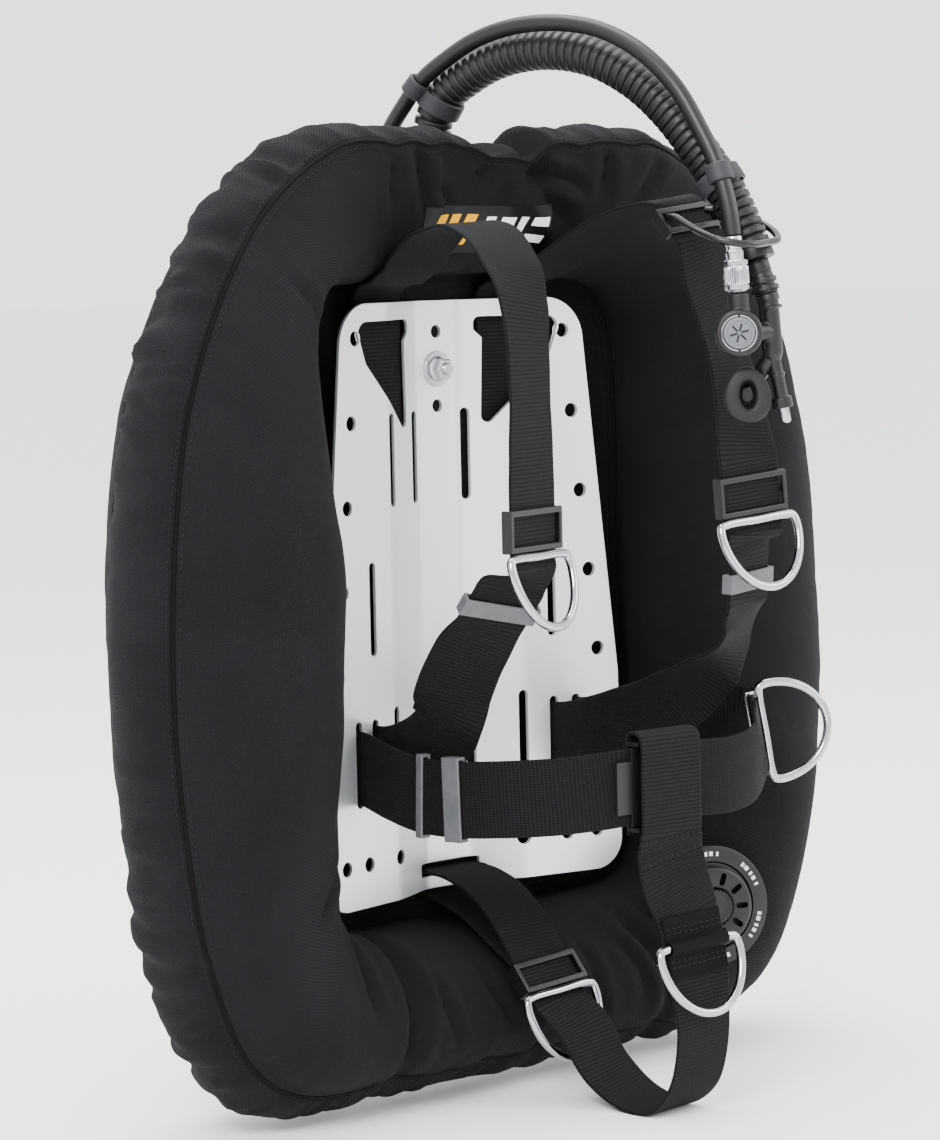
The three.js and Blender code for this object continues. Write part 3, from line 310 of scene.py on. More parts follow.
GAS_RADIUS = 0.00575
GAS_ROUTE = np.array([
    (69.9, -221.3, 226.4), (69.4, -220, 238), (68.6, -216.5, 254), (67.4, -209, 275),
    (65, -199, 295), (60.5, -182, 323), (56, -161, 344), (51, -139, 358), (45, -115, 367),
    (37, -83, 371), (30, -53, 369), (24, -27, 362), (19, -5, 351), (14, 16, 337), (10, 32, 319),
    (7, 44, 302), (5, 51, 284), (4, 54, 262), (3, 55, 235), (2, 55, 205), (2, 55, 175),
    (2, 55, 150)]) * MM
gas_line = spaced(GAS_ROUTE, 0.003)
gas_hose = curve("gas_hose", gas_line, GAS_RADIUS)
show(gas_hose, "gas_hose", gas_rubber, nodes=["lp_hose"])


def turned(name, profile, base, axis, sides=48, smooth=35):
    """A turned piece: profile is (reach along the axis, radius) in mm, from end to end, closed."""
    reach, radius = np.array(profile, float).T * MM
    spin = Vector((0, 0, 1)).rotation_difference(Vector(axis)).to_matrix()
    build = bmesh.new()
    rings = []
    for z, r in zip(reach, radius):
        angles = [2 * math.pi * i / sides for i in range(sides)] if r > 1e-6 else [0]
        rings.append([build.verts.new(spin @ Vector((r * math.cos(a), r * math.sin(a), z))
                                      + Vector(base)) for a in angles])
    for low, high in zip(rings, rings[1:]):
        for i in range(sides):
            j = (i + 1) % sides
            corners = [low[i % len(low)], low[j % len(low)], high[j % len(high)],
                       high[i % len(high)]]
            corners = [c for k, c in enumerate(corners) if c not in corners[:k]]
            if len(corners) > 2:
                build.faces.new(corners)
    if len(rings[0]) > 1 and (rings[0][0].co - rings[-1][0].co).length > 1e-7:
        build.faces.new(rings[0][::-1])
        build.faces.new(rings[-1])
    bmesh.ops.remove_doubles(build, verts=build.verts, dist=1e-7)
    bmesh.ops.recalc_face_normals(build, faces=build.faces)
    return from_bmesh(name, build, smooth)


def from_bmesh(name, build, smooth=35):
    """An object from a bmesh, smooth but for edges sharper than the angle."""
    for face in build.faces:
        face.smooth = True
    for edge in build.edges:
        edge.smooth = len(edge.link_faces) < 2 or edge.calc_face_angle(0) < math.radians(smooth)
    data = bpy.data.meshes.new(name)
    build.to_mesh(data)
    build.free()
    return placed(name, data)


def banded(name, rings, smooth):
    """A skin over rings of as many points each, the last ring joined to the first; mm."""
    build = bmesh.new()
    rings = [[build.verts.new(Vector(point) * MM) for point in ring] for ring in rings]
    for low, high in zip(rings, rings[1:] + rings[:1]):
        for i in range(len(low)):
            j = (i + 1) % len(low)
            build.faces.new((low[i], low[j], high[j], high[i]))
    bmesh.ops.recalc_face_normals(build, faces=build.faces)
    return from_bmesh(name, build, smooth)


def joined(name, *pieces):
    """Several mesh objects as one."""
    with bpy.context.temp_override(active_object=pieces[0], object=pieces[0],
                                   selected_editable_objects=list(pieces)):
        bpy.ops.object.join()
    pieces[0].name = name
    return pieces[0]


# Chromed brass: bright, hard reflections with hairline polishing marks.
chrome = noisy(finish("chromed_brass", Metallic=1.0, Base_Color="#b4b6ba"), (240, 5),
               rough=(0.08, 0.24))

hose_end = Vector((0.002, 0.055, 0.1497))
fitting = joined(
    "gas_fitting",
    turned("crimp", [(0, 0), (0, 7.4), (1, 8), (6, 8), (6.6, 7.5), (7.4, 7.5), (8, 8), (14, 8),
                     (15, 7.4), (21.7, 7.4), (21.7, 0)], hose_end, (0, 0, -1)),
    turned("nut", [(15.7, 0), (15.7, 8.2), (17.2, 9.5), (24.2, 9.5), (25.7, 8.2), (25.7, 0)],
           hose_end, (0, 0, -1), 6),
    turned("thread", [(24.7, 0), (24.7, 4.7)] + [(25.7 + 0.5 * i,
                                                  4.7 - 0.45 * (i % 2)) for i in range(20)]
           + [(36.7, 4.2), (37.7, 3.4), (37.7, 0)], hose_end, (0, 0, -1)))
show(fitting, "gas_fitting", chrome, nodes=["lp_fitting"])

# ---- Bungee loop
# 5 mm shock cord with a smooth braided sheath, tied through the top slide of the left strap; it
# holds both hoses to the strap.
sheath = finish("braided_nylon_sheath", Roughness=0.3, Base_Color="#060607", Specular_IOR_Level=0.3,
                Coat_Weight=0.25, Coat_Roughness=0.12)
tree = sheath.node_tree
where = add(tree, "ShaderNodeTexCoord").outputs["Object"]
braid = add(tree, "ShaderNodeTexWave",
            {"Vector": where, "Scale": 190.0, "Distortion": 1.5, "Detail": 2.0},
            bands_direction="DIAGONAL")
drive(sheath, "Normal", add(tree, "ShaderNodeBump", {
    "Height": braid.outputs["Fac"], "Strength": 0.3, "Distance": 0.0003}))

BUNGEE_RADIUS = 0.0025
bungee_line = spaced(np.array([
    (64.2, -168.5, 239), (60, -179.4, 238.6), (56, -193, 234), (53, -208, 229), (55, -222, 224),
    (63, -232, 221), (74, -236, 220), (90, -233, 221), (105, -229, 223), (113, -217, 229),
    (114, -202, 235), (107, -189, 240), (102, -177, 242.6), (100.3, -168.9, 243.5)]) * MM, 0.0015)
bungee = curve("bungee_loop_cord", bungee_line, BUNGEE_RADIUS)
show(bungee, "bungee_loop_cord", sheath, nodes=["bungee_loop"])

# ---- Wing covers
# The doughnut's outer bag: three panels of 1000-denier nylon sewn edge to edge over the air cell,
# a wide front panel, a gusset round the outside and a rear panel. The air cell inside fills it.
CENTRE_Z, HOLE_WIDE, HOLE_HIGH, SQUARENESS = -17, 167, 220, 7
FRONT_SEAM, REAR_SEAM, COVER_THICK = -81, -18, 1.2
PANEL_FRONT, PANEL_THICK, PANEL_FLAT, PANEL_DISH = -4.3, 2.5, 62, 0.079
OUTLINE = [(0, 281), (45, 290.5), (100, 292), (145, 289), (205, 252), (245, 197), (275, 124),
           (290, 30), (293, -60), (287, -140), (272, -222), (238, -297), (197, -322),
           (100, -324.5), (0, -323.6)]
# Pull of each seam towards its bulge at the side, top and bottom: [distance, depth] handles of
# the front panel at the inner and outer seam, of the rear panel at both, and the gusset's bulge.
BULGE = np.array([(-58, -96, -46, -100, -24, 62, 34, 57, 16),
                  (-3, -60, -18, 19, -8, 32, 15, 30, 11),
                  (-8, -70, -25, -55, -12, 40, 18, 36, 19)], float)
STATIONS = 520

loop = np.array(OUTLINE + [(-x, z) for x, z in OUTLINE[-2:0:-1]], float) - (0, CENTRE_Z)
wrapped = np.vstack([loop[-2:], loop, loop[:3]])
first, last = 2 / (len(wrapped) - 1), (2 + len(loop)) / (len(wrapped) - 1)
traced = np.array([centripetal(wrapped, first + (last - first) * i / 900) for i in range(900)])
order = np.argsort(np.arctan2(traced[:, 1], traced[:, 0]))
outline_angle = np.arctan2(traced[:, 1], traced[:, 0])[order]
outline_reach = np.hypot(traced[:, 0], traced[:, 1])[order]

angle = -math.pi + 2 * math.pi * (np.arange(STATIONS) + 0.5) / STATIONS
outer = np.interp(angle, outline_angle, outline_reach, period=2 * math.pi)
# Where a fold reaches the outer seams it draws them in: [x, depth, width], above and below.
DRAWN_IN = {1: [(26, 8, 13), (-68, 3, 9), (-98, 2.5, 8), (-12, 2, 8), (72, 3, 11), (120, 2.5, 9),
                (-40, 1.5, 6)],
            -1: [(124, 4, 10), (-120, 3.5, 11), (10, 2.5, 9), (-40, 2, 8), (62, 2.5, 9),
                 (158, 3, 9)]}
for half, dips in DRAWN_IN.items():
    for x, deep, wide in dips:
        near_x = np.exp(-((outer * np.cos(angle) - x) / wide) ** 2) * (half * np.sin(angle) > 0)
        outer = outer - deep * near_x


def hole_reach(angle, inset=0.0):
    across = np.abs(np.cos(angle) / (HOLE_WIDE - inset)) ** SQUARENESS
    up = np.abs(np.sin(angle) / (HOLE_HIGH - inset)) ** SQUARENESS
    return (across + up) ** (-1 / SQUARENESS)


def panel_front(x):
    return PANEL_FRONT - np.maximum(0, np.abs(x) - PANEL_FLAT) * PANEL_DISH


inner = hole_reach(angle)
inner_y = panel_front(inner * np.cos(angle)) + PANEL_THICK / 2
top, bottom = np.clip(np.sin(angle), 0, 1) ** 2.5, np.clip(-np.sin(angle), 0, 1) ** 2.5
pull = np.outer(1 - top - bottom, BULGE[0]) + np.outer(top, BULGE[1]) + np.outer(bottom, BULGE[2])
at_hole = np.stack([inner, inner_y], axis=1)
at_front = np.stack([outer, np.full(STATIONS, FRONT_SEAM)], axis=1)
at_rear = np.stack([outer, np.full(STATIONS, REAR_SEAM)], axis=1)
swell = np.stack([pull[:, 8] * 1.3, np.full(STATIONS, 14.0)], axis=1)
HANDLES = {"front": (at_hole, at_hole + pull[:, 0:2], at_front + pull[:, 2:4], at_front),
           "gusset": (at_front, at_front + swell, at_rear + swell * (1, -1), at_rear),
           "rear": (at_rear, at_rear + pull[:, 4:6], at_hole + pull[:, 6:8], at_hole)}
COLUMNS = {"front": 78, "gusset": 26, "rear": 52}
seam_xz = np.stack([outer * np.cos(angle), outer * np.sin(angle)], axis=1)
steps = np.linalg.norm(np.roll(seam_xz, -1, 0) - seam_xz, axis=1)
round_it = float(steps.sum())
along = np.concatenate([[0], np.cumsum(steps)])


def panel_grid(part, margin=0.3):
    """Points of a panel, station by column, in mm, and how far each lies from its first seam."""
    t = np.linspace(0, 1, 161)[:, None, None]
    a, b, c, d = HANDLES[part]
    line = (1 - t) ** 3 * a + 3 * t * (1 - t) ** 2 * b + 3 * t * t * (1 - t) * c + t ** 3 * d
    run = np.vstack([np.zeros(STATIONS),
                     np.cumsum(np.linalg.norm(np.diff(line, axis=0), axis=2), 0)])
    grid, away = np.zeros((STATIONS, COLUMNS[part] + 1, 3)), np.zeros((STATIONS, COLUMNS[part] + 1))
    for i in range(STATIONS):
        at = np.linspace(margin, run[-1, i] - margin, COLUMNS[part] + 1)
        reach, y = (np.interp(at, run[:, i], line[:, i, k]) for k in (0, 1))
        x, z = reach * math.cos(angle[i]), reach * math.sin(angle[i]) + CENTRE_Z
        grid[i], away[i] = np.stack([x, y, z], 1), at
    return grid, away


def outward(grid):
    """Unit normals of a grid that closes round its first axis."""
    round_step = np.roll(grid, -1, 0) - np.roll(grid, 1, 0)
    across_step = np.gradient(grid, axis=1)
    normal = np.cross(round_step, across_step)
    return normal / np.linalg.norm(normal, axis=2, keepdims=True)


def rumple(away, pitch, reach, seed):
    """Folds that run across the ring: pitch apart along it and reach long, from -1 to 1."""
    turn = 2 * math.pi * along[:-1] / round_it
    size = round_it / (2 * math.pi * pitch)
    made = np.empty(away.shape)
    for i in range(away.shape[0]):
        x, y = size * math.cos(turn[i]), size * math.sin(turn[i])
        made[i] = [noise.noise(Vector((x + seed * 7.3, y, c / reach + seed))) for c in away[i]]
    return made * 1.6


def fade(value, low, high):
    t = np.clip((value - low) / (high - low), 0, 1)
    return t * t * (3 - 2 * t)


# Creases pressed into the front: from (x, z) to (x, z), how wide and how deep, in mm.
CREASES = [
    (20, 294, 40, 262, 13, 6), (40, 264, 78, 236, 10, 4), (38, 270, 84, 258, 7, 4.5),
    (-6, 292, -22, 262, 9, 4), (-76, 292, -62, 240, 8, 5), (-98, 284, -90, 246, 6, 3),
    (-50, 262, -36, 244, 5, 2.5), (100, 284, 92, 250, 7, 3.5), (140, 280, 118, 236, 7, 3),
    (106, -252, 124, -324, 9, 8), (88, -262, 96, -300, 7, 4), (140, -240, 158, -292, 7, 4),
    (-104, -240, -120, -322, 9, 7), (-140, -214, -152, -276, 7, 5), (-84, -262, -80, -306, 6, 3.5),
    (-40, -262, -30, -300, 6, 3), (10, -258, 14, -306, 7, 3.5), (52, -262, 60, -310, 6, 3),
    (-172, 176, -206, 206, 6, 2.5), (-178, -176, -214, -206, 6, 3), (176, 176, 214, 206, 6, 2.5),
]
CREASE_DEEPER, SHOULDER_RISE = 1.5, 0.35


def creased(grid):
    """How far the creases press a grid in. Each is a valley with a low shoulder on both sides."""
    x, z = grid[..., 0], grid[..., 2]
    pressed = np.zeros(x.shape)
    for x0, z0, x1, z1, wide, deep in CREASES:
        dx, dz = x1 - x0, z1 - z0
        share = ((x - x0) * dx + (z - z0) * dz) / (dx * dx + dz * dz)
        bend = 5 * np.sin(share * 2.6 + x0)
        off = np.abs(((x - x0) * dz - (z - z0) * dx) / math.hypot(dx, dz) + bend * 0.6)
        ends = fade(share, -0.25, 0.15) * (1 - fade(share, 0.6, 1.15))
        shoulder = np.exp(-((off - 1.5 * wide) / (0.7 * wide)) ** 2)
        valley = np.exp(-off / (0.55 * wide)) - SHOULDER_RISE * shoulder
        pressed += CREASE_DEEPER * deep * ends * valley
    return pressed * fade(-grid[..., 1], 18, 40)


def near_angle(target, wide):
    """1 for the stations round a direction in degrees, fading out over wide degrees."""
    gap = np.abs((np.degrees(angle) - target + 180) % 360 - 180)
    return (1 - fade(gap, 0.4 * wide, wide))[:, None]


def ring_mesh(name, grid, away, thick):
    """The cloth of one panel as a closed shell, with its own metres as UVs."""
    rows, columns = grid.shape[:2]
    index = np.arange(rows * columns).reshape(rows, columns)
    following = np.roll(index, -1, 0)
    faces = np.stack([index[:, :-1], following[:, :-1], following[:, 1:], index[:, 1:]],
                     -1).reshape(-1, 4)
    data = bpy.data.meshes.new(name)
    data.from_pydata((grid * MM).reshape(-1, 3).tolist(), [], faces.tolist())
    u0 = np.repeat(along[:-1, None], columns - 1, 1)
    u1 = np.repeat(along[1:, None], columns - 1, 1)
    v = np.vstack([away, away[:1]])
    uv = np.stack([np.stack([u0, v[:-1, :-1]], -1), np.stack([u1, v[1:, :-1]], -1),
                   np.stack([u1, v[1:, 1:]], -1), np.stack([u0, v[:-1, 1:]], -1)], 2)
    data.uv_layers.new(name="cloth").data.foreach_set("uv", (uv * MM).ravel())
    data.polygons.foreach_set("use_smooth", [True] * len(faces))
    piece = placed(name, data)
    wall = piece.modifiers.new("wall", "SOLIDIFY")
    wall.thickness, wall.offset = thick * MM, -1
    return piece


# Cordura nylon, woven from 1000-denier yarn and dyed black: dead matt, a faint dusty sheen at
# grazing angles and a regular grain. The real yarns lie 0.7 mm apart; drawn at 1.25 mm to show.
YARN = 0.00125
cordura = finish("woven_cordura_nylon", Roughness=0.86, Sheen_Weight=0.04, Sheen_Roughness=0.45,
                 Sheen_Tint=linear("#8d9096"), Specular_IOR_Level=0.12, IOR=1.5)


def ridges(tree, cloth, along, across):
    """Humps an even distance apart in each direction of a cloth's own metres, and the cells."""
    cells = add(tree, "ShaderNodeVectorMath", {0: cloth, 1: (1 / along, 1 / across, 0)},
                operation="MULTIPLY")
    parts = add(tree, "ShaderNodeSeparateXYZ", {"Vector": cells})
    humps = [op(tree, "ABSOLUTE", op(tree, "SINE",
                                     op(tree, "MULTIPLY", parts.outputs[axis], math.pi)))
             for axis in ("X", "Y")]
    return humps, cells


tree = cordura.node_tree
cloth = add(tree, "ShaderNodeUVMap", uv_map="cloth")
(warp, weft), cells = ridges(tree, cloth, YARN, YARN)
over = add(tree, "ShaderNodeTexChecker", {"Vector": cells, "Scale": 1.0}).outputs["Fac"]
weave = add(tree, "ShaderNodeMix", {"Factor": over, "A": warp, "B": weft})
slub = add(tree, "ShaderNodeTexNoise",
           {"Vector": cloth, "Scale": 520.0, "Detail": 4.0, "Roughness": 0.7})
drive(cordura, "Normal", add(tree, "ShaderNodeBump", {
    "Height": op(tree, "ADD", weave, slub), "Strength": 0.8, "Distance": 0.0005}))
worn = add(tree, "ShaderNodeTexNoise",
           {"Vector": cloth, "Scale": 9.0, "Detail": 5.0, "Roughness": 0.6})
toned(cordura, op(tree, "MULTIPLY", worn, weave), "#040405", "#131416", end=0.62)

COVERED = {"front": ["cover_front_panel", "bladder"], "gusset": ["cover_gusset"],
           "rear": ["cover_rear_panel"]}
grids = {}
for part in ("front", "gusset", "rear"):
    grid, away = panel_grid(part)
    normal = outward(grid)
    # The ring's own middle line, to turn the normals away from.
    middle = np.stack([(inner + outer) / 2 * np.cos(angle), np.full(STATIONS, -50.0),
                       (inner + outer) / 2 * np.sin(angle) + CENTRE_Z], 1)[:, None, :]
    if ((grid - middle) * normal).sum(2).mean() < 0:
        normal = -normal
    whole = away[:, -1:]
    back = whole - away
    slack = 0.5 + 0.5 * rumple(away, 160, 400, 3)
    # Broad dents, and smaller ones on them, in mm.
    lift = 2.6 * rumple(away, 120, 90, 1) + 0.7 * rumple(away, 46, 60, 2)
    if part == "gusset":
        # Where the gusset is loosest, in degrees round the ring from +X, and its folds.
        loose = (0.8 + 2.6 * near_angle(138, 34) + 2.8 * near_angle(222, 30) + 1.8 * near_angle(42,
                                                                                                30)
                 + 1.6 * near_angle(-42, 30) + 1.2 * near_angle(90, 26) + 1.0 * near_angle(-90, 30))
        folded = 1 - 2.2 * np.abs(rumple(away, 17, 75, 5))
        lift = 0.5 * lift + loose * (0.75 * folded + 0.6 * rumple(away, 11, 34, 6))
    else:
        # Gathers that fade away from the outer and the inner seam.
        outer_gap, inner_gap = (back, away) if part == "front" else (away, back)
        lift = lift + slack * (2.0 * np.exp(-outer_gap / 20) * rumple(away, 12, 40, 7)
                               + 2.2 * np.exp(-inner_gap / 24) * rumple(away, 20, 50, 8))
    lift = lift * fade(np.minimum(away, back), 0, 9)
    # Sewn edges are drawn down a little beside the seam.
    lift = lift - 0.9 * np.exp(-(np.minimum(away, back) / 2.2) ** 2)
    if part != "rear":
        lift = lift - creased(grid) * (0.12 + 0.88 * fade(np.minimum(away, back), 0, 14))
    grid = grid + normal * lift[..., None]
    lifted = outward(grid)
    grids[part] = (grid, away, lifted * np.sign((lifted * normal).sum(2))[..., None])
    if part == "gusset":
        grid, away = grid[:, ::-1], away[:, ::-1]
    name = {"front": "wing_front_panel", "gusset": "wing_gusset", "rear": "wing_rear_panel"}[part]
    piece = ring_mesh(name, grid, away, COVER_THICK)
    build = bmesh.new()
    build.from_mesh(piece.data)
    bmesh.ops.recalc_face_normals(build, faces=build.faces)
    corner = Vector(grids[part][0][0, 8]) * MM
    face = min(build.faces, key=lambda f: (f.calc_center_median() - corner).length)
    if face.normal.dot(Vector(normal[0, 8])) < 0:
        bmesh.ops.reverse_faces(build, faces=build.faces)
    build.to_mesh(piece.data)
    build.free()
    show(piece, name, cordura, nodes=COVERED[part])

# ---- Seam binding and stitches
# Every seam of the wing is bound with a narrow rolled welt and run down with bonded nylon thread;
# the front seam is topstitched once and the inner seam twice.
thread = noisy(finish("bonded_nylon_thread", Roughness=0.6, Specular_IOR_Level=0.15), (900, 2),
               tones=("#0c0c0e", "#1d1e21"))

stitch_row, given, out = geometry_tree("stitch_row", Spacing="Float", Length="Float",
                                       Radius="Float",
                                       Material="Material")
inp = given.outputs
row = add(stitch_row, "GeometryNodeCurveToPoints",
          {"Curve": inp["Geometry"], "Length": inp["Spacing"]},
          mode="LENGTH")
size = add(stitch_row, "ShaderNodeCombineXYZ", {
    "X": op(stitch_row, "MULTIPLY", inp["Length"], 0.5), "Y": inp["Radius"], "Z": inp["Radius"]})
many = add(stitch_row, "GeometryNodeInstanceOnPoints", {
    "Points": row, "Scale": size,
    "Instance": add(stitch_row, "GeometryNodeMeshUVSphere",
                    {"Segments": 6, "Rings": 5, "Radius": 1.0}),
    "Rotation": add(stitch_row, "FunctionNodeAlignRotationToVector", {
        "Vector": row.outputs["Tangent"]}, axis="X")})
finished(stitch_row, many, inp["Material"], out)


def stitches(name, lines, cyclic=False, spacing=0.0042, size=0.003, radius=0.00032, body=VEST):
    """Rows of stitches along lines, as one piece."""
    rows = [grown(name, stitch_row, curve(name, line, cyclic=cyclic), Spacing=spacing, Length=size,
                  Radius=radius, Material=thread) for line in lines]
    return show(joined(name, *rows), name, None, body=body)


def beside_seam(part, distance, from_end, lift=0.2):
    """The line on a wing panel that keeps a distance from one of its seams, in metres."""
    grid, away, normal = grids[part]
    at = away[:, -1] - distance if from_end else np.full(STATIONS, distance)
    raised = grid + lift * normal
    return np.array([[np.interp(at[i], away[i], raised[i, :, k]) for k in range(3)]
                     for i in range(STATIONS)]) * MM


welts = [meshed(curve("welt", beside_seam(part, 0.0, end, 0.3), radius * MM, cyclic=True,
                      resolution=3))
         for part, end, radius in (("front", True, 1.15), ("rear", False, 1.0),
                                   ("front", False, 1.3))]
show(joined("wing_seam_welts", *welts), "wing_seam_welts", cordura)
stitches("wing_topstitch", [beside_seam("front", 5, True), beside_seam("gusset", 4, False),
                            beside_seam("rear", 5, False), beside_seam("front", 4, False),
                            beside_seam("front", 9, False)], cyclic=True)

# ---- Centre panel
# The flat double cloth that closes the doughnut's hole and carries the grommets; sewn round its
# edge and cut away low down where the crotch strap passes behind the plate.
RIM, WINDOW_HALF, WINDOW_LOW, WINDOW_HIGH = -0.5, 28.0, -224.0, -196.0
rows_z = np.sort(np.concatenate([
    (HOLE_HIGH - RIM) * 0.9995 * np.sin(np.linspace(-math.pi / 2, math.pi / 2, 150)) + CENTRE_Z,
    [WINDOW_LOW, WINDOW_HIGH]]))
panel, sheet_rows = bmesh.new(), []
for z in rows_z:
    up = abs(z - CENTRE_Z) / (HOLE_HIGH - RIM)
    half = (HOLE_WIDE - RIM) * (1 - up ** SQUARENESS) ** (1 / SQUARENESS)
    share = np.sin(np.linspace(0, math.pi / 2, 30))[1:]
    side = WINDOW_HALF + (half - WINDOW_HALF) * share
    xs = np.concatenate([-side[::-1], np.linspace(-WINDOW_HALF, WINDOW_HALF, 15), side])
    edge = np.minimum(half - np.abs(xs), (HOLE_HIGH - RIM) - abs(z - CENTRE_Z))
    gather = fade(np.maximum(np.abs(xs) / 150, abs(z - CENTRE_Z) / 205), 0.9, 1.0) * fade(edge, 0,
                                                                                          6)
    pucker = [abs(noise.noise(Vector((x / 9, z / 9, 4)))) for x in xs]
    ys = panel_front(xs) + 1.6 * gather * np.array(pucker)
    sheet_rows.append([panel.verts.new(Vector((x, y, z)) * MM) for x, y in zip(xs, ys)])
layer = panel.loops.layers.uv.new("cloth")
for (z0, low), (z1, high) in zip(zip(rows_z, sheet_rows), zip(rows_z[1:], sheet_rows[1:])):
    for i in range(len(low) - 1):
        in_window = abs(low[i].co.x + low[i + 1].co.x) < 2 * WINDOW_HALF * MM
        if in_window and z0 >= WINDOW_LOW - 0.01 and z1 <= WINDOW_HIGH + 0.01:
            continue
        face = panel.faces.new((low[i], low[i + 1], high[i + 1], high[i]))
        for corner in face.loops:
            corner[layer].uv = (corner.vert.co.x, corner.vert.co.z)
panel = from_bmesh("centre_cloth", panel, 40)
wall = panel.modifiers.new("wall", "SOLIDIFY")
wall.thickness, wall.offset = PANEL_THICK * MM, -1
show(panel, "wing_centre_panel", cordura, nodes=["centre_panel"])


def on_panel(points):
    return np.array([(x, panel_front(x) - 0.25, z) for x, z in points]) * MM


def around(inset):
    """A line round the centre panel, inset from its seam."""
    reach = hole_reach(angle, inset)
    return [(r * math.cos(a), r * math.sin(a) + CENTRE_Z) for r, a in zip(reach, angle)]


stitches("centre_panel_stitch", [on_panel(around(5)), on_panel(around(10))], cyclic=True)

# ---- Tank pad
# A thin moulded rubber mat glued to the back of the centre panel; the cylinder lies against its
# upright ribs.
pad_rubber = noisy(finish("moulded_nitrile_mat", Roughness=0.7, Base_Color="#2a2b2d"), (700, 4),
                   relief=(0.3, 0.0003))


def rounded(width, height, radius, steps=6):
    """The outline of a rectangle with round corners, centred."""
    line = []
    for cx, cz, start in ((1, 1, 0), (-1, 1, 90), (-1, -1, 180), (1, -1, 270)):
        for i in range(steps + 1):
            a = math.radians(start + 90 * i / steps)
            line.append((cx * (width / 2 - radius) + radius * math.cos(a),
                         cz * (height / 2 - radius) + radius * math.sin(a)))
    return line


def prism(name, outline, low, high, place, bevel=0.0, smooth=35):
    """An outline in a frame's x and y, raised from low to high along its z; mm, frame in mm."""
    build = bmesh.new()
    base = [build.verts.new(place @ Vector((x, y, low)) * MM) for x, y in outline]
    lid = [build.verts.new(place @ Vector((x, y, high)) * MM) for x, y in outline]
    build.faces.new(base[::-1])
    build.faces.new(lid)
    for i in range(len(outline)):
        j = (i + 1) % len(outline)
        build.faces.new((base[i], base[j], lid[j], lid[i]))
    bmesh.ops.recalc_face_normals(build, faces=build.faces)
    if bevel:
        rim = [e for e in build.edges if e.calc_face_angle(0) > math.radians(40)]
        bmesh.ops.bevel(build, geom=rim, offset=bevel * MM, segments=2, affect="EDGES", profile=0.6)
    return from_bmesh(name, build, smooth)


def frame_at(origin, across, front):
    """A frame in mm: x along across, z out of the front."""
    x = Vector(across).normalized()
    z = Vector(front)
    z = (z - x * z.dot(x)).normalized()
    y = z.cross(x)
    return Matrix(((x.x, y.x, z.x, origin[0]), (x.y, y.y, z.y, origin[1]),
                   (x.z, y.z, z.z, origin[2]), (0, 0, 0, 1)))


rear_face = frame_at((0, 0, 0), (-1, 0, 0), (0, 1, 0))
mat = [prism("mat", rounded(120, 200, 6), -1.5, -0.6, rear_face, 0.2)]
mat += [prism("rib", [(x + a, b) for a, b in rounded(8, 192, 1.5)], -0.6, 0, rear_face, 0.2)
        for x in range(-54, 55, 12)]
show(joined("tank_pad_mat", *mat), "tank_pad_mat", pad_rubber, nodes=["tank_pad"])

# A cloth flap sewn behind the window of the centre panel, so that the crotch strap doesn't rub
# the cylinder.
flap = prism("flap", [(x, z + (WINDOW_LOW + WINDOW_HIGH) / 2) for x, z in rounded(68, 40, 4)],
             -1.7, -0.5, rear_face, 0.2)
layer = flap.data.uv_layers.new(name="cloth")
for corner in flap.data.loops:
    point = flap.data.vertices[corner.vertex_index].co
    layer.data[corner.index].uv = (point.x, point.z)
show(flap, "wing_window_flap", cordura)

# ---- Name patch
# A soft moulded rubber badge sewn to the top of the front panel: plain raised blocks in yellow
# and white on black, with no lettering.
patch_place = frame_at((0, -59.6, 232.3), (1, 0, 0), (0, -0.9, -0.43))
front_skin = bpy.data.objects["wing_front_panel"].data
skin = BVHTree.FromPolygons([v.co.copy() for v in front_skin.vertices],
                            [p.vertices[:] for p in front_skin.polygons])


def conformed(piece, gap=0.15):
    """Drops a flat piece made in the patch's frame onto the wing, keeping its heights."""
    back = patch_place.inverted()
    toward = -patch_place.col[2].to_3d()
    for vertex in piece.data.vertices:
        flat = back @ (vertex.co / MM)
        start = patch_place @ Vector((flat.x, flat.y, 25)) * MM
        struck = skin.ray_cast(start, toward)[0]
        if struck:
            height = (back @ (struck / MM)).z
            flat.z += max(min(height + gap, 3.0), -6.0)
            vertex.co = patch_place @ flat * MM
    return piece


def tile(name, corners, low, high, step=3.0):
    """A thin plate with four corners, cut fine enough to bend."""
    (ax, ay), (bx, by), (cx, cy), (dx, dy) = corners
    wide = max(2, round(math.hypot(bx - ax, by - ay) / step))
    tall = max(2, round(math.hypot(dx - ax, dy - ay) / step))
    build = bmesh.new()
    sheets = []
    for z in (low, high):
        sheets.append([[build.verts.new(patch_place @ Vector((
            (1 - v) * ((1 - u) * ax + u * bx) + v * ((1 - u) * dx + u * cx),
            (1 - v) * ((1 - u) * ay + u * by) + v * ((1 - u) * dy + u * cy), z)) * MM)
            for u in np.linspace(0, 1, wide + 1)] for v in np.linspace(0, 1, tall + 1)])
    under, over = sheets
    for j in range(tall):
        for i in range(wide):
            build.faces.new((over[j][i], over[j][i + 1], over[j + 1][i + 1], over[j + 1][i]))
            build.faces.new((under[j][i], under[j + 1][i], under[j + 1][i + 1], under[j][i + 1]))
    ring = ([(0, i) for i in range(wide)] + [(j, wide) for j in range(tall)]
            + [(tall, i) for i in range(wide, 0, -1)] + [(j, 0) for j in range(tall, 0, -1)])
    for (j0, i0), (j1, i1) in zip(ring, ring[1:] + ring[:1]):
        build.faces.new((under[j0][i0], under[j1][i1], over[j1][i1], over[j0][i0]))
    bmesh.ops.recalc_face_normals(build, faces=build.faces)
    return from_bmesh(name, build, 35)


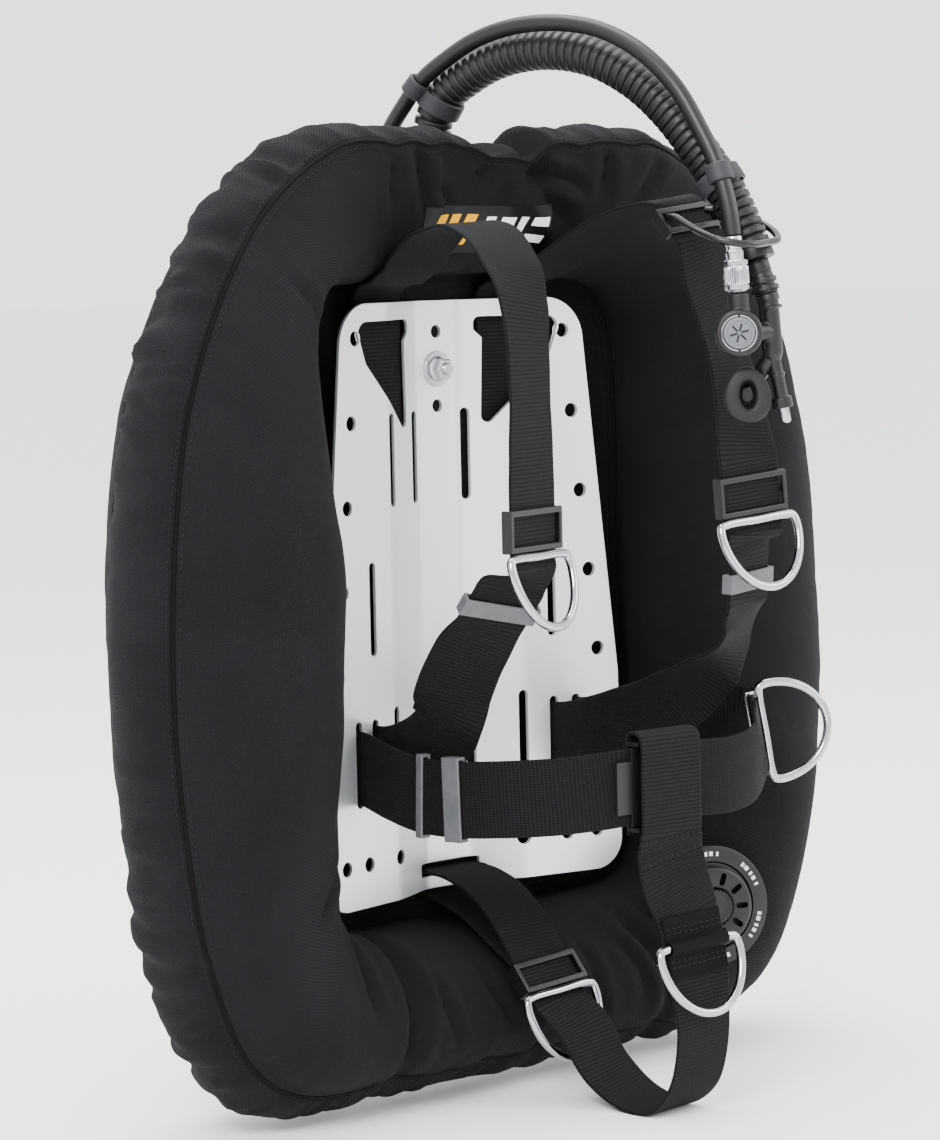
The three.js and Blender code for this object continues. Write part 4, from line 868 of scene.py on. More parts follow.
badge_rubber, badge_yellow, badge_white = [
    noisy(finish("moulded_pvc_" + shade, Roughness=rough, Base_Color=code,
                 Specular_IOR_Level=gloss), (800, 3),
          relief=(0.2, 0.0002))
    for shade, rough, code, gloss in (("black", 0.5, "#08080a", 0.2),
                                      ("yellow", 0.6, "#dc9c00", 0.1),
                                      ("white", 0.48, "#eceded", 0.5))]
badge = conformed(tile("name_patch_base", [(-58, -18), (58, -18), (59, 18), (-59, 18)], -0.6, 0.5))
show(badge, "name_patch_base", badge_rubber, nodes=["name_patch"])
bars = [[(-50, -11), (-42, -11), (-36, 12), (-44, 12)],
        [(-38, -11), (-30, -11), (-24, 12), (-32, 12)],
        [(-26, -11), (-14, -11), (-12.5, -5), (-24.5, -5)],
        [(-21, 3), (-12, 3), (-9.5, 12), (-18.5, 12)]]
show(conformed(joined("name_patch_bars", *[tile("bar", b, 0.5, 1.1) for b in bars])),
     "name_patch_bars", badge_yellow)
blocks = [[(-4, -9), (4, -9), (8, 10), (0, 10)], [(9, -9), (21, -9), (22.4, -3), (10.4, -3)],
          [(12, 3), (24, 3), (25.4, 10), (13.4, 10)], [(27, -9), (33, -9), (37, 10), (31, 10)],
          [(38, -9), (52, -9), (53.2, -3), (39.2, -3)], [(41, 4), (55, 4), (56.2, 10), (42.2, 10)]]
show(conformed(joined("name_patch_blocks", *[tile("block", b, 0.5, 1.1) for b in blocks])),
     "name_patch_blocks", badge_white)

# ---- Backplate
# 3 mm aluminium sheet, laser-cut, its edges broken, bent into a channel for the tank with two
# side wings, then bead-blasted and clear anodised to an even silvery white.
PLATE_THICK, PLATE_TOP, PLATE_BOTTOM, PLATE_FACE = 3.0, 186.4, -218.0, -7.6
CENTRE_HALF, FLANK_HALF, CHANNEL, SIDE_SLOPE = 19.75, 59.5, 18.2, 0.2035
SIDE_HALF, SHOULDER_HALF, CORNER, BOLT_HALF, HOLE_PITCH = 137, 112, 30, 139.7, 25.4
BREAK, BEND_RUN = 0.45, 4.5

anodised = noisy(finish("blasted_anodised_aluminium", Metallic=0.75), (1400, 2),
                 relief=(0.12, 0.0001))
noisy(anodised, (14, 4), rough=(0.36, 0.5), tones=("#dfe1e3", "#eceeef"))


def turn_of(x, z, radius, start, end, steps=12):
    return [(x + radius * math.cos(math.radians(start + (end - start) * i / steps)),
             z + radius * math.sin(math.radians(start + (end - start) * i / steps)))
            for i in range(steps + 1)]


def round_hole(x, z, radius):
    return turn_of(x, z, radius, 0, 345, 23)


def long_slot(x, high, low, width=6.5):
    r = width / 2
    return turn_of(x, high - r, r, 0, 180, 8) + turn_of(x, low + r, r, 180, 360, 8)


right_edge = (turn_of(SIDE_HALF - 22, PLATE_BOTTOM + 22, 22, -90, 0, 16) + [(SIDE_HALF - 1, -78)]
              + turn_of(SHOULDER_HALF - CORNER, PLATE_TOP - CORNER, CORNER, 8, 90, 16))
cuts = [round_hole(0, end * BOLT_HALF + step * HOLE_PITCH,
                   4.4) for end in (1, -1) for step in (-1, 0, 1)]
for side in (1, -1):
    opening = (turn_of(35, 170, 4.5, 90, 180, 6) + [(30.5, 165.5), (36, 160)]
               + turn_of(39, 106, 4.5, 180, 315, 10) + [(84, 146)] + turn_of(83, 165, 9, 0, 90, 8))
    cuts.append([(side * x, z) for x, z in opening])
    cuts += [round_hole(side * (95.5 + 6 * i), 163.2 - 56 * i, 5) for i in range(5)]
    cuts += [round_hole(side * x, -189, 5) for x in (57.7, 92.5, 116.7)]
    cuts += [long_slot(side * x, high, low) for x, high, low in (
        (23.5, 112, 49), (57, 112, 49), (82.7, 13.4, -49.6), (23.5, -84, -147), (58.9, -86, -149),
        (83, -92, -150), (100.9, -92, -150))]
cuts.append([(a, b - 204.5) for a, b in rounded(54, 9, 1.5, 3)])

flat = bpy.data.curves.new("plate_blank", "CURVE")
flat.dimensions, flat.fill_mode = "2D", "BOTH"
flat.extrude, flat.bevel_depth, flat.offset = PLATE_THICK / 2 - BREAK, BREAK, -BREAK
flat.bevel_resolution = 1
for line in [right_edge + [(-x, z) for x, z in right_edge[::-1]]] + cuts:
    spline = flat.splines.new("POLY")
    spline.points.add(len(line) - 1)
    spline.points.foreach_set("co", [c for x, z in line for c in (x, z, 0, 1)])
    spline.use_cyclic_u = True
blank = meshed(placed("plate_blank", flat))
build = bmesh.new()
build.from_mesh(blank.data)
bpy.data.objects.remove(blank)
bmesh.ops.remove_doubles(build, verts=build.verts, dist=0.002)
for bend in (CENTRE_HALF, FLANK_HALF):
    for share in np.linspace(-1, 1, 7):
        for side in (1, -1):
            geometry = build.verts[:] + build.edges[:] + build.faces[:]
            bmesh.ops.bisect_plane(build, geom=geometry, dist=1e-4,
                                   plane_co=(side * (bend + share * BEND_RUN), 0, 0),
                                   plane_no=(1, 0, 0))


def plate_front(x):
    """The bent sheet's front face, in mm, its two bends rounded."""
    def slope_at(a):
        first = min(max((a - CENTRE_HALF + BEND_RUN) / (2 * BEND_RUN), 0), 1)
        second = min(max((a - FLANK_HALF + BEND_RUN) / (2 * BEND_RUN), 0), 1)
        steep = CHANNEL / (FLANK_HALF - CENTRE_HALF)
        return steep * (first - second) + SIDE_SLOPE * second
    at = abs(x)
    marks = np.linspace(0, at, 60) if at > 1e-6 else np.zeros(2)
    slopes = np.array([slope_at(a) for a in marks])
    return PLATE_FACE - float(np.sum((slopes[1:] + slopes[:-1]) / 2 * np.diff(marks)))


for vertex in build.verts:
    x, z, depth = vertex.co
    vertex.co = Vector((x, plate_front(x) + PLATE_THICK / 2 - depth, z)) * MM
plate = from_bmesh("backplate_sheet", build, 28)
plate.modifiers.new("even", "WEIGHTED_NORMAL").keep_sharp = True
plate = meshed(plate)
show(plate, "backplate_sheet", anodised, nodes=["backplate"])

# ---- Bolts and grommets
# M8 stainless: the hexagon head bears on a brass-plated grommet behind the cloth, and a plain
# washer and a flanged hexagon nut hold the plate in front.
steel = noisy(finish("turned_stainless_steel", Metallic=1.0, Base_Color="#bdbfc2"), (500, 4),
              rough=(0.22, 0.42))
FORWARD, WASHER_REAR, NUT_REAR, NUT_THICK, HEAD_Y, HEX_RADIUS = (0, -1,
                                                                 0), -7.9, -9.8, 8.0, -0.4, 7.5

def on_bolt(name, profile, y, z, sides=48, smooth=35, axis=FORWARD):
    return turned(name, profile, (0, y * MM, z * MM), axis, sides, smooth)


for place, z in (("upper", BOLT_HALF), ("lower", -BOLT_HALF)):
    grommet = on_bolt("grommet", [(0.7, 4.5), (0.7, 9.2), (0.3, 9.5), (-0.1, 9.2), (0, 6), (2.5, 6),
                                  (2.5, 4.5), (0.7, 4.5)], PANEL_FRONT + PANEL_THICK + 0.4, z)
    washer = on_bolt("washer", [(0, 4.4), (0, 11.7), (0.3, 12), (1.3, 12), (1.6, 11.7), (1.6, 4.4),
                                (0, 4.4)], WASHER_REAR, z, 64)
    nut = joined("nut", on_bolt("flange", [(0, 4.4), (0, 8.4), (0.5, 8.7), (1.5, 7.6), (2.4, 6.4),
                                           (2.4, 4.4), (0, 4.4)], NUT_REAR, z),
                 on_bolt("flats", [(0.4, 4.3), (0.4, 7.5), (7.2, 7.5), (8, 6.6), (8, 4.9),
                                   (7.4, 4.3), (0.4, 4.3)], NUT_REAR, z, 6, 25))
    reach = abs(NUT_REAR - NUT_THICK - 2 - HEAD_Y)
    threads = [(9 + 0.5 * i, 4.0 - 0.4 * (i % 2)) for i in range(int((reach - 10) * 2))]
    tip = [(reach - 0.7, 3.9), (reach, 3.3), (reach, 0)]
    screw = joined("screw", on_bolt("shank", [(0, 0), (0, 4)] + threads + tip, HEAD_Y, z),
                   on_bolt("head", [(0, 0), (0, HEX_RADIUS), (4.6, HEX_RADIUS), (5.3, 6.7),
                                    (5.3, 0)],
                           HEAD_Y, z, 6, 25, (0, 1, 0)))
    for piece, name, node in ((grommet, "grommet_ring_", "grommet_"),
                              (washer, "plain_washer_", "washer_"),
                              (nut, "flanged_nut_", "nut_"), (screw, "m8_bolt_", "bolt_")):
        show(piece, name + place, steel, nodes=[node + place])

# ---- Harness webbing
# 50 mm ribbed nylon webbing, 2.3 mm thick, dyed black: ribs 2.6 mm apart run across it, and its
# selvedges are woven flat. The harness is one piece, threaded through the plate's slots.
WEB_WIDTH, WEB_THICK, GAP, RIB_PITCH, RIB_DEPTH = 50.0, 2.3, 0.3, 2.6, 0.42

web_nylon = finish("woven_nylon_webbing", Roughness=0.72, Sheen_Weight=0.01, Sheen_Roughness=0.4,
                   Specular_IOR_Level=0.09, IOR=1.53)
tree = web_nylon.node_tree
cloth = add(tree, "ShaderNodeUVMap", uv_map="cloth")
# Warp yarns 1.3 mm apart along the webbing; each shows as a short float between two ribs.
(float_along, float_across), _ = ridges(tree, cloth, RIB_PITCH * MM, 1.3 * MM)
floats_and_groove_shade = op(tree, "MULTIPLY", float_along, float_across)
fuzz = add(tree, "ShaderNodeTexNoise", {"Vector": cloth, "Scale": 900.0, "Detail": 3.0})
drive(web_nylon, "Normal", add(tree, "ShaderNodeBump", {
    "Height": op(tree, "ADD", floats_and_groove_shade, fuzz), "Strength": 0.9, "Distance": 0.0008}))
# Painted shade: the colour runs from near black in the grooves between the floats to dark grey on
# their crowns. The shade that falls in the grooves is painted into the webbing's colour.
toned(web_nylon, floats_and_groove_shade, "#010101", "#1a1b1d")


def run_on(frame, reaches, lift=0.0):
    """Straight stations along a frame's y."""
    width = frame.col[0].to_3d()
    return [(*(frame @ Vector((0, reach, lift))), *width) for reach in reaches]


def strap_rows(stations, step=RIB_PITCH / 5):
    """Middle, width, face and run every step along a strap, and the distances."""
    stations = np.array(stations, float)
    across = stations[:, 3:] / np.linalg.norm(stations[:, 3:], axis=1, keepdims=True)
    fine = []
    for i in range(len(stations) - 1):
        for w in np.linspace(0, 1, 40, endpoint=False):
            smooth = w * w * (3 - 2 * w)
            middle = centripetal(stations[:, :3], (i + w) / (len(stations) - 1))
            fine.append(np.concatenate([middle, across[i] * (1 - smooth) + across[i + 1] * smooth]))
    fine.append(np.concatenate([stations[-1, :3], across[-1]]))
    fine = np.array(fine)
    run = np.concatenate([[0], np.cumsum(np.linalg.norm(np.diff(fine[:, :3], axis=0), axis=1))])
    at = np.linspace(0, run[-1], round(run[-1] / step) + 1)
    rows = np.stack([np.interp(at, run, fine[:, k]) for k in range(6)], axis=1)
    middle = rows[:, :3]
    tangent = np.gradient(middle, axis=0)
    tangent /= np.linalg.norm(tangent, axis=1, keepdims=True)
    width = rows[:, 3:] - (rows[:, 3:] * tangent).sum(1, keepdims=True) * tangent
    width /= np.linalg.norm(width, axis=1, keepdims=True)
    return middle, width, np.cross(tangent, width), tangent, at


def ribbon(name, stations, width=WEB_WIDTH, thick=WEB_THICK, body=VEST, nodes=()):
    """A strap of ribbed webbing along its stations."""
    middle, across, face, _, at = strap_rows(stations)
    half = width / 2
    spread = np.array([-half, -half + 0.25, -half + 1.0, -half + 2.6, -half * 0.6, 0, half * 0.6,
                       half - 2.6, half - 1.0, half - 0.25, half])
    fall = np.array([0, 0.72, 1, 1, 1, 1, 1, 1, 1, 0.72, 0])
    ribbed = np.array([0, 0.3, 0.8, 1, 1, 1, 1, 1, 0.8, 0.3, 0])
    rib = RIB_DEPTH * (np.abs(np.cos(math.pi * at / RIB_PITCH)) - 0.8)
    x = np.concatenate([spread, spread[-2:0:-1]])
    side = np.concatenate([fall, -fall[-2:0:-1]])
    share = np.concatenate([ribbed, -ribbed[-2:0:-1]])
    height = side[None, :] * thick / 2 + share[None, :] * rib[:, None]
    points = (middle[:, None] + across[:, None] * x[None, :, None] + face[:, None] * height[...,
                                                                                            None])
    rows, columns = points.shape[:2]
    index = np.arange(rows * columns).reshape(rows, columns)
    right = np.roll(index, -1, 1)
    faces = np.stack([index[:-1], index[1:], right[1:], right[:-1]], -1).reshape(-1, 4).tolist()
    data = bpy.data.meshes.new(name)
    data.from_pydata((points * MM).reshape(-1, 3).tolist(), [],
                     faces + [index[0].tolist(), index[-1][::-1].tolist()])
    data.polygons.foreach_set("use_smooth", [True] * len(data.polygons))
    uv = data.uv_layers.new(name="cloth").data
    around = np.tile(x, rows)
    length = np.repeat(at, columns)
    corner = np.array([loop.vertex_index for loop in data.loops])
    uv.foreach_set("uv", (np.stack([length[corner], around[corner]], 1) * MM).ravel())
    build = bmesh.new()
    build.from_mesh(data)
    bmesh.ops.recalc_face_normals(build, faces=build.faces)
    build.to_mesh(data)
    build.free()
    return show(placed(name, data), name, web_nylon, body, nodes)


SLIDE_RIGHT = frame_at((-102, -206.8, 44), (48.8, 11, 0), (0.22, -0.975, 0))
SLIDE_LEFT = frame_at((103, -203, 54), (49.5, -5, 4), (-0.1, -1, 0))
KEEPER_RIGHT = frame_at((-104.5, -177, -8), (47.5, -11, -10), (-0.3, -0.73, -0.615))
KEEPER_LEFT = frame_at((106, -196.5, -4), (48, 11, 2), (0.22, -0.97, -0.08))
SLIDE_TOP = frame_at((86, -165, 237), (49.5, 5, 5), (-0.08, -0.8, 0.6))
HIP = frame_at((121, -190, -110), (0.12, -0.1, -0.98), (0.75, -0.66, 0))
BUCKLE = frame_at((-12, -228, -125), (0, 0, -1), (-0.08, -1, 0))
SLIDE_REAR = frame_at((-5, -110, -266), (1, 0.05, 0.05), (-0.1, -0.79, 0.58))
TAB_FRONT = frame_at((9, -234, -232), (1, -0.1, 0.06), (-0.1, -0.98, 0.16))
RUN = (26, 16, 6, -4, -14, -20, -26)


def slot_end(side):
    """In through the inner waist slot and along behind the plate."""
    return [(side * x, y, -121, 0, 0, -1) for x, y in (
        (82.9, -33), (82.9, -29), (83.6, -27), (85.5, -26.2), (88, -26.6), (91.8, -27.5))]


def slot_start(side, z):
    """From behind the plate out through the outer waist slot."""
    return [(side * x, y, z, 0, 0, -1) for x, y in (
        (92.1, -27.6), (97.8, -28.1), (100.4, -30), (101, -33), (101.2, -38))]


RIGHT_SHOULDER = [
    (-60, -14, 62, 48.9, 10.6, 0), (-60, -15, 120, 48.9, 10.6, 0), (-60, -15, 180, 48.9, 10.6, 0),
    (-60, -15.4, 189, 48.9, 10.6, 0), (-61, -24, 196.5, 49.5, 8, -1), (-63, -40, 201, 50, 6, -2),
    (-67, -60, 209.5, 50, 5, -2), (-73, -78, 220, 50, 4, -3), (-78, -99, 231, 50, 5, -1),
    (-82, -128, 237, 50, 6, 2), (-89, -157, 232, 50, 3, 3), (-96, -184, 214, 50, -2, -4),
    (-100, -200, 189, 49, 8, -4), (-102, -206, 157, 48, 13, -4), (-102, -207, 126, 47, 14, -3),
    (-102, -207, 94, 48, 12, -2), *run_on(SLIDE_RIGHT, RUN),
    *run_on(KEEPER_RIGHT, (20, 12, 4, -4, -12)), (-107.5, -152, -38, 41, -28, -6),
    (-107, -135, -64, 36, -34, -3), (-104, -124, -85, 14, -48, -2), (-99, -104, -101, -4, -48, -12),
    (-92, -72, -114, -2, -28, -41), (-85, -46, -120, 0, -6, -49.6), *slot_end(-1)]
LEFT_SHOULDER = [
    (60, -14, 62, 48.9, -10.6, 0), (60, -15, 120, 48.9, -10.6, 0), (60, -15, 180, 48.9, -10.6, 0),
    (60, -15.4, 189, 48.9, -10.6, 0), (61, -24, 196.5, 49.5, -8, 1), (62, -40, 201, 50, -6, 2),
    (64, -60, 210, 50, -3, 0), (67, -80, 223, 50, 0, 2), (71, -105, 237, 50, 1, 3),
    (77, -134, 248, 50, 4, 4), *run_on(SLIDE_TOP, (16, 8, 0, -8, -16)), (93, -174, 200, 49, 8, 3),
    (99, -178, 175, 49, 8, 1), (102, -186, 146, 49, 8, -2), (103, -195, 110, 50, 3, 0),
    *run_on(SLIDE_LEFT, RUN), (104.5, -199, 22, 49, 4, 3),
    *run_on(KEEPER_LEFT, (18, 9, 0, -9, -16)),
    (108, -188, -32, 40, 24, -14), (107, -177, -52, 29, 27, -30), (101, -160, -72, 28, 17, -38),
    (93, -135, -90, 24, 4, -42), (87, -90, -108, 12, 0, -48), (83.5, -50, -119, 2, 0, -50),
    *slot_end(1)]
RIGHT_WAIST = [
    *slot_start(-1, -123), (-106, -70, -129, 0, 0, -1), (-111, -105, -133, 0, 0, -1),
    (-110, -140, -133, 0, 0, -1), (-101, -172, -131, 0, 0, -1), (-82, -200, -129, 0, 0, -1),
    (-60, -216, -127, 0, 0, -1), *run_on(BUCKLE, (-32, -24, -16, -8, -0.3))]
LEFT_WAIST = [
    *run_on(BUCKLE, (0.3, 6, 12, 18, 26, 34)), (48, -231, -126, 0, 0, -1),
    (74, -225, -124, 0, 0, -1),
    (94, -215, -119, 0, 0, -1), *run_on(HIP, (-20, -10, 0, 10, 20, 28, 34)),
    (142, -148, -106, 0, 0, -1), (135, -118, -108, 0, 0, -1), (119, -80, -114, 0, 0, -1),
    (105, -52, -118, 0, 0, -1), *slot_start(1, -119)[::-1]]
LAYER = (WEB_THICK + 2 * GAP) / 2
BUCKLE_LOOP = [(*(BUCKLE @ Vector((x, 0, z))), 1, -0.08, 0) for x, z in (
    (34, 8.2), (27, 9.8), (14, 9.8), (0, 9.8), (-14, 9.8), (-27, 9.8), (-32.5, 7.4), (-34.6, 1.4),
    (-33.2, -3.8), (-28, -5.2), (-14, -5.2), (0, -5.2), (14, -5.2), (28, -5.2), (32, -5.2))]
CROTCH = [
    *run_on(SLIDE_REAR, (-11, -4, 4, 12), LAYER),
    *[(x, y, z, 1, 0, 0) for x, y, z in (
        (-6, -86, -233), (-6, -64, -215), (-4, -38, -206.5), (-2, -20, -204.8), (0, -12, -204.6),
        (0, -7.5, -204.6), (0, -4.6, -204.9), (0, -3.15, -206.8), (0, -3.05, -211),
        (0, -3.1, -216.8),
        (0, -4.0, -219.4), (0, -6.5, -220.3), (0, -14, -221.5), (-3, -34, -225), (-5, -58, -233),
        (-6, -80, -245))],
    *run_on(SLIDE_REAR, (12, 4, -4, -11, -18), -LAYER),
    (2, -136, -298, 49, 5, 8), (6, -154, -325, 49, 8, 8), (12, -178, -343, 49, 8, 4),
    (14, -205, -346, 49, 6, 0), (13, -228, -328, 49, 2, 0), (12, -239, -291, 50, 2, 1),
    *run_on(TAB_FRONT, (-18, -9, 0, 9, 18)), (-4, -231, -187, 49, -10, -3),
    (-10, -233, -168, 49, -8, 0), *BUCKLE_LOOP]
STRAPS = {"shoulder_strap_right": RIGHT_SHOULDER, "shoulder_strap_left": LEFT_SHOULDER,
          "waist_strap_right": RIGHT_WAIST, "waist_strap_left": LEFT_WAIST, "crotch_strap": CROTCH}
for strap, stations in STRAPS.items():
    ribbon(strap + "_webbing", stations, nodes=[strap])


def sewn_across(stations, near, offsets=(0.0, 4.0), side=1, half=22.0):
    """Lines across a strap, beside the point of it nearest a place."""
    middle, across, face, _, at = strap_rows(stations)
    spot = int(np.argmin(np.linalg.norm(middle - np.array(near), axis=1)))
    lines = []
    for offset in offsets:
        i = min(max(spot + round(offset / (RIB_PITCH / 5)), 0), len(at) - 1)
        origin = middle[i] + side * face[i] * (WEB_THICK / 2 + 0.15)
        lines.append(np.array([origin + across[i] * a for a in np.linspace(-half, half, 12)]) * MM)
    return lines


stitches("crotch_loop_stitch", sewn_across(CROTCH, (-7, -232, -176), (0, 4, 14, 18), 1)
         + sewn_across(CROTCH, (-7, -232, -176), (0, 4, 14, 18), -1), size=0.0032, radius=0.00042)

# ---- Slides and D-rings
# The slides are black powder-coated stainless plate with rolled edges; the D-rings are 6 mm
# stainless wire, bent, butt-welded and electropolished. Each ring swings on its own bar.
powder = noisy(finish("powder_coated_steel", Roughness=0.42, Base_Color="#060607",
                      Specular_IOR_Level=0.35,
                      Coat_Weight=0.05, Coat_Roughness=0.3), (650, 2), relief=(0.2, 0.0002))
polished = noisy(finish("electropolished_stainless", Metallic=1.0, Base_Color="#a9abae"),
                 (180, 5, 0.65),
                 relief=(0.06, 0.0002), rough=(0.06, 0.2))


def eased(node, ending, width, material, body=VEST, segments=3):
    """Shows a copy of a CAD node with its edges rounded over, named as the node and an ending."""
    build = bmesh.new()
    build.from_mesh(frame["nodes"][node].data)
    bmesh.ops.remove_doubles(build, verts=build.verts, dist=1e-5)
    bmesh.ops.dissolve_limit(build, angle_limit=math.radians(2), verts=build.verts,
                             edges=build.edges)
    piece = from_bmesh(node + ending, build, 50)
    easing = piece.modifiers.new("ease", "BEVEL")
    easing.width, easing.segments, easing.limit_method = width * MM, segments, "ANGLE"
    easing.angle_limit = math.radians(35)
    easing.use_clamp_overlap = True
    piece.modifiers.new("even", "WEIGHTED_NORMAL").keep_sharp = True
    show(meshed(piece), node + ending, material, body, [node])


for node in ("shoulder_slide_right", "shoulder_slide_left", "bungee_slide", "crotch_slide"):
    eased(node, "_plate", 0.8, powder)
eased("hip_slide", "_plate", 0.8, polished)


def ring_frame(frame, reach, hang, over):
    """The frame of a ring whose bar lies over a strap's frame, hanging along a direction."""
    x, z = frame.col[0].to_3d(), frame.col[2].to_3d()
    origin = frame @ Vector((0, reach, over))
    up = -Vector(hang)
    up = (up - x * up.dot(x)).normalized()
    out = x.cross(up)
    return Matrix(((x.x, up.x, out.x, origin.x), (x.y, up.y, out.y, origin.y),
                   (x.z, up.z, out.z, origin.z), (0, 0, 0, 1)))


RING_WIRE, RING_HALF, RING_DEEP, RING_CORNER, SLIDE_HIGH = 3.0, 33.0, 46.0, 7.0, 27.0
ON_STRAP = WEB_THICK / 2 + GAP
REAR_OVER = LAYER + WEB_THICK / 2 + GAP
RINGS = {
    "shoulder_ring_right": ring_frame(SLIDE_RIGHT, -SLIDE_HIGH / 2 - GAP - RING_WIRE,
                                      (0.05, -0.28, -0.96),
                                      ON_STRAP + RING_WIRE),
    "shoulder_ring_left": ring_frame(SLIDE_LEFT, -SLIDE_HIGH / 2 - GAP - RING_WIRE,
                                     (0.08, -0.28, -0.96),
                                     ON_STRAP + RING_WIRE),
    "hip_ring": ring_frame(HIP, 0, (0.9, -0.42, -0.05), ON_STRAP + RING_WIRE),
    "crotch_ring_rear": ring_frame(SLIDE_REAR, -14.4, (0.1, -0.3, -0.95), REAR_OVER),
    "crotch_ring_front": ring_frame(TAB_FRONT, 0, (0.05, -0.3, -0.95), ON_STRAP + RING_WIRE)}
# The wire is drawn a little thin, so that a ring at the end of its swing clears its slide.
WIRE_SHOWN = RING_WIRE - 0.1
bow = [(0, 0), (RING_HALF - RING_CORNER, 0), (RING_HALF - 1.5, -1.5), (RING_HALF, -RING_CORNER)]
bow += [(RING_HALF * math.cos(math.pi * i / 12),
         -RING_CORNER - (RING_DEEP - RING_CORNER) * math.sin(math.pi * i / 12)) for i in range(1,
                                                                                               6)]
bow += [(0, -RING_DEEP)] + [(-x, y) for x, y in bow[:0:-1]]
wrapped_bow = np.array([(*p, 0) for p in bow[-3:] + bow + bow[:3]], float)
low, high = 3 / (len(wrapped_bow) - 1), (3 + len(bow)) / (len(wrapped_bow) - 1)
bow_line = [Vector(centripetal(wrapped_bow, low + (high - low) * i / 160)) for i in range(160)]
for ring, place in RINGS.items():
    wire = meshed(curve(ring, np.array([place @ p for p in bow_line]) * MM, WIRE_SHOWN * MM, True,
                        7))
    show(wire, ring + "_wire", polished, body=ring, nodes=[ring])

eased("crotch_ring_tab", "_web", 0.35, web_nylon, segments=2)
tab_rows = [np.array([TAB_FRONT @ Vector((x, y, 2.75)) for x in np.linspace(-21, 21, 14)]) * MM
            for y in (9, 12.5, -9, -12.5)]
stitches("crotch_tab_stitch", tab_rows, size=0.0032, radius=0.00042)

# ---- Waist buckle
# A black-coated stainless cam buckle: a folded frame behind the two strap ends and a lever that
# clamps the webbing, turning on a headed pin. The crotch strap's loop hides most of it.
eased("buckle_frame", "_sheet", 0.5, powder)
eased("buckle_lever", "_sheet", 0.5, powder, "buckle_lever")
pin_at = BUCKLE @ Vector((-30.6, 20, 4.6)) * MM
pin = turned("buckle_pin_rod",
             [(0, 0), (0, 1.9), (0.3, 2.2), (1.0, 2.2), (1.3, 1.9), (1.3, 1.2), (59.9, 1.2),
                                (59.9, 1.9), (60.2, 2.2), (60.9, 2.2), (61.2, 1.9), (61.2, 0)],
             pin_at, BUCKLE.col[0].to_3d(), 32)
show(pin, "buckle_pin_rod", polished, nodes=["buckle_pin"])

# ---- Rubber keepers
# Bands cut from grey tube rubber and stretched over the webbing to park the loose ends.
band_rubber = noisy(finish("cut_grey_tube_rubber", Roughness=0.6), (120, 5), relief=(0.2, 0.0003),
                    tones=("#3a3b3d", "#545557"))
dark_rubber = noisy(finish("moulded_dark_rubber", Roughness=0.55, Base_Color="#232426",
                           Specular_IOR_Level=0.3),
                    (300, 4), relief=(0.2, 0.0003))
for node in ("strap_keeper_right", "strap_keeper_left", "waist_keeper_outer", "waist_keeper_inner"):
    eased(node, "_band", 0.7, band_rubber)


def nearest(line, place):
    """The point of a line nearest a place, and the line's direction there."""
    gaps = np.linalg.norm(line - np.array(place), axis=1)
    i = min(max(int(np.argmin(gaps)), 1), len(line) - 2)
    return Vector(line[i]), Vector(line[i + 1] - line[i - 1]).normalized()


def collar(at, run, bore, wall, half):
    """A short tube round a hose, its ends rounded; mm."""
    edge = 0.8
    return turned("collar", [(-half, bore), (-half, bore + wall - edge), (edge - half, bore + wall),
                             (half - edge, bore + wall), (half, bore + wall - edge), (half, bore),
                             (-half, bore)], at, run, 48)


# Metres from each hose's middle to the middle of the collar's wall, where the bridge starts.
BIG_WALL, SMALL_WALL = 0.0152, 0.0074
for place, near in (("upper", (0.0275, 0.013, 0.321)), ("lower", (0.0885, -0.194, 0.261))):
    big_at, big_run = nearest(hose_line, near)
    small_at, small_run = nearest(gas_line, big_at)
    between = small_at - big_at
    bridge_from = big_at + between.normalized() * BIG_WALL
    bridge_to = small_at - between.normalized() * SMALL_WALL
    keeper = [collar(big_at, big_run, 14.0, 2.2, 6), collar(small_at, small_run, 6.2, 2.4, 6)]
    if (bridge_to - bridge_from).dot(between) > 0:
        span = (bridge_to - bridge_from).length / MM
        keeper.append(turned("bridge", [(0, 0), (0, 4.6), (span, 4.6), (span, 0)], bridge_from,
                             between, 24))
    node = "hose_keeper_" + place
    show(joined(node, *keeper), node + "_band", dark_rubber, nodes=[node])

# ---- Dump valve
# Injection-moulded acetal: a wide flange welded into the front panel, a screwed cap with ten
# spokes cut through it and a pull knob in the middle that slides on its own spring.
acetal = noisy(finish("moulded_acetal", Base_Color="#060607", Specular_IOR_Level=0.35), (800, 3),
               relief=(0.2, 0.0002), rough=(0.33, 0.5))

VALVE_AXIS = Vector((-0.4, -0.91, 0.05)).normalized()
valve_place = frame_at((157, -110, -242), VALVE_AXIS.cross(Vector((0, 0, 1))), VALVE_AXIS)
valve_at = valve_place.col[3].to_3d() * MM
flange = turned("flange", [
    (-22, 7), (-22, 24.0), (-21.6, 24.4), (-5.7, 24.4), (-5.7, 42), (-5.3, 42.4), (-2.4, 42.4),
    (-1.9, 41.6), (-1.9, 31.6), (-2.7, 31), (-3.4, 30.4), (-3.4, 7), (-22, 7)], valve_at,
                VALVE_AXIS, 96)
show(flange, "dump_valve_flange", acetal, nodes=["dump_valve_body"])


def cut_by(piece, *cutters):
    """A piece with the cutters taken out of it, as a plain mesh."""
    for cutter in cutters:
        trim = piece.modifiers.new("trim", "BOOLEAN")
        trim.operation, trim.solver, trim.object = "DIFFERENCE", "EXACT", cutter
    made = meshed(piece)
    for cutter in cutters:
        bpy.data.objects.remove(cutter)
    return made


def edges_by_angle(piece, smooth=35):
    """Smooth shading but for edges sharper than the angle."""
    build = bmesh.new()
    build.from_mesh(piece.data)
    name = piece.name
    bpy.data.objects.remove(piece)
    return from_bmesh(name, build, smooth)


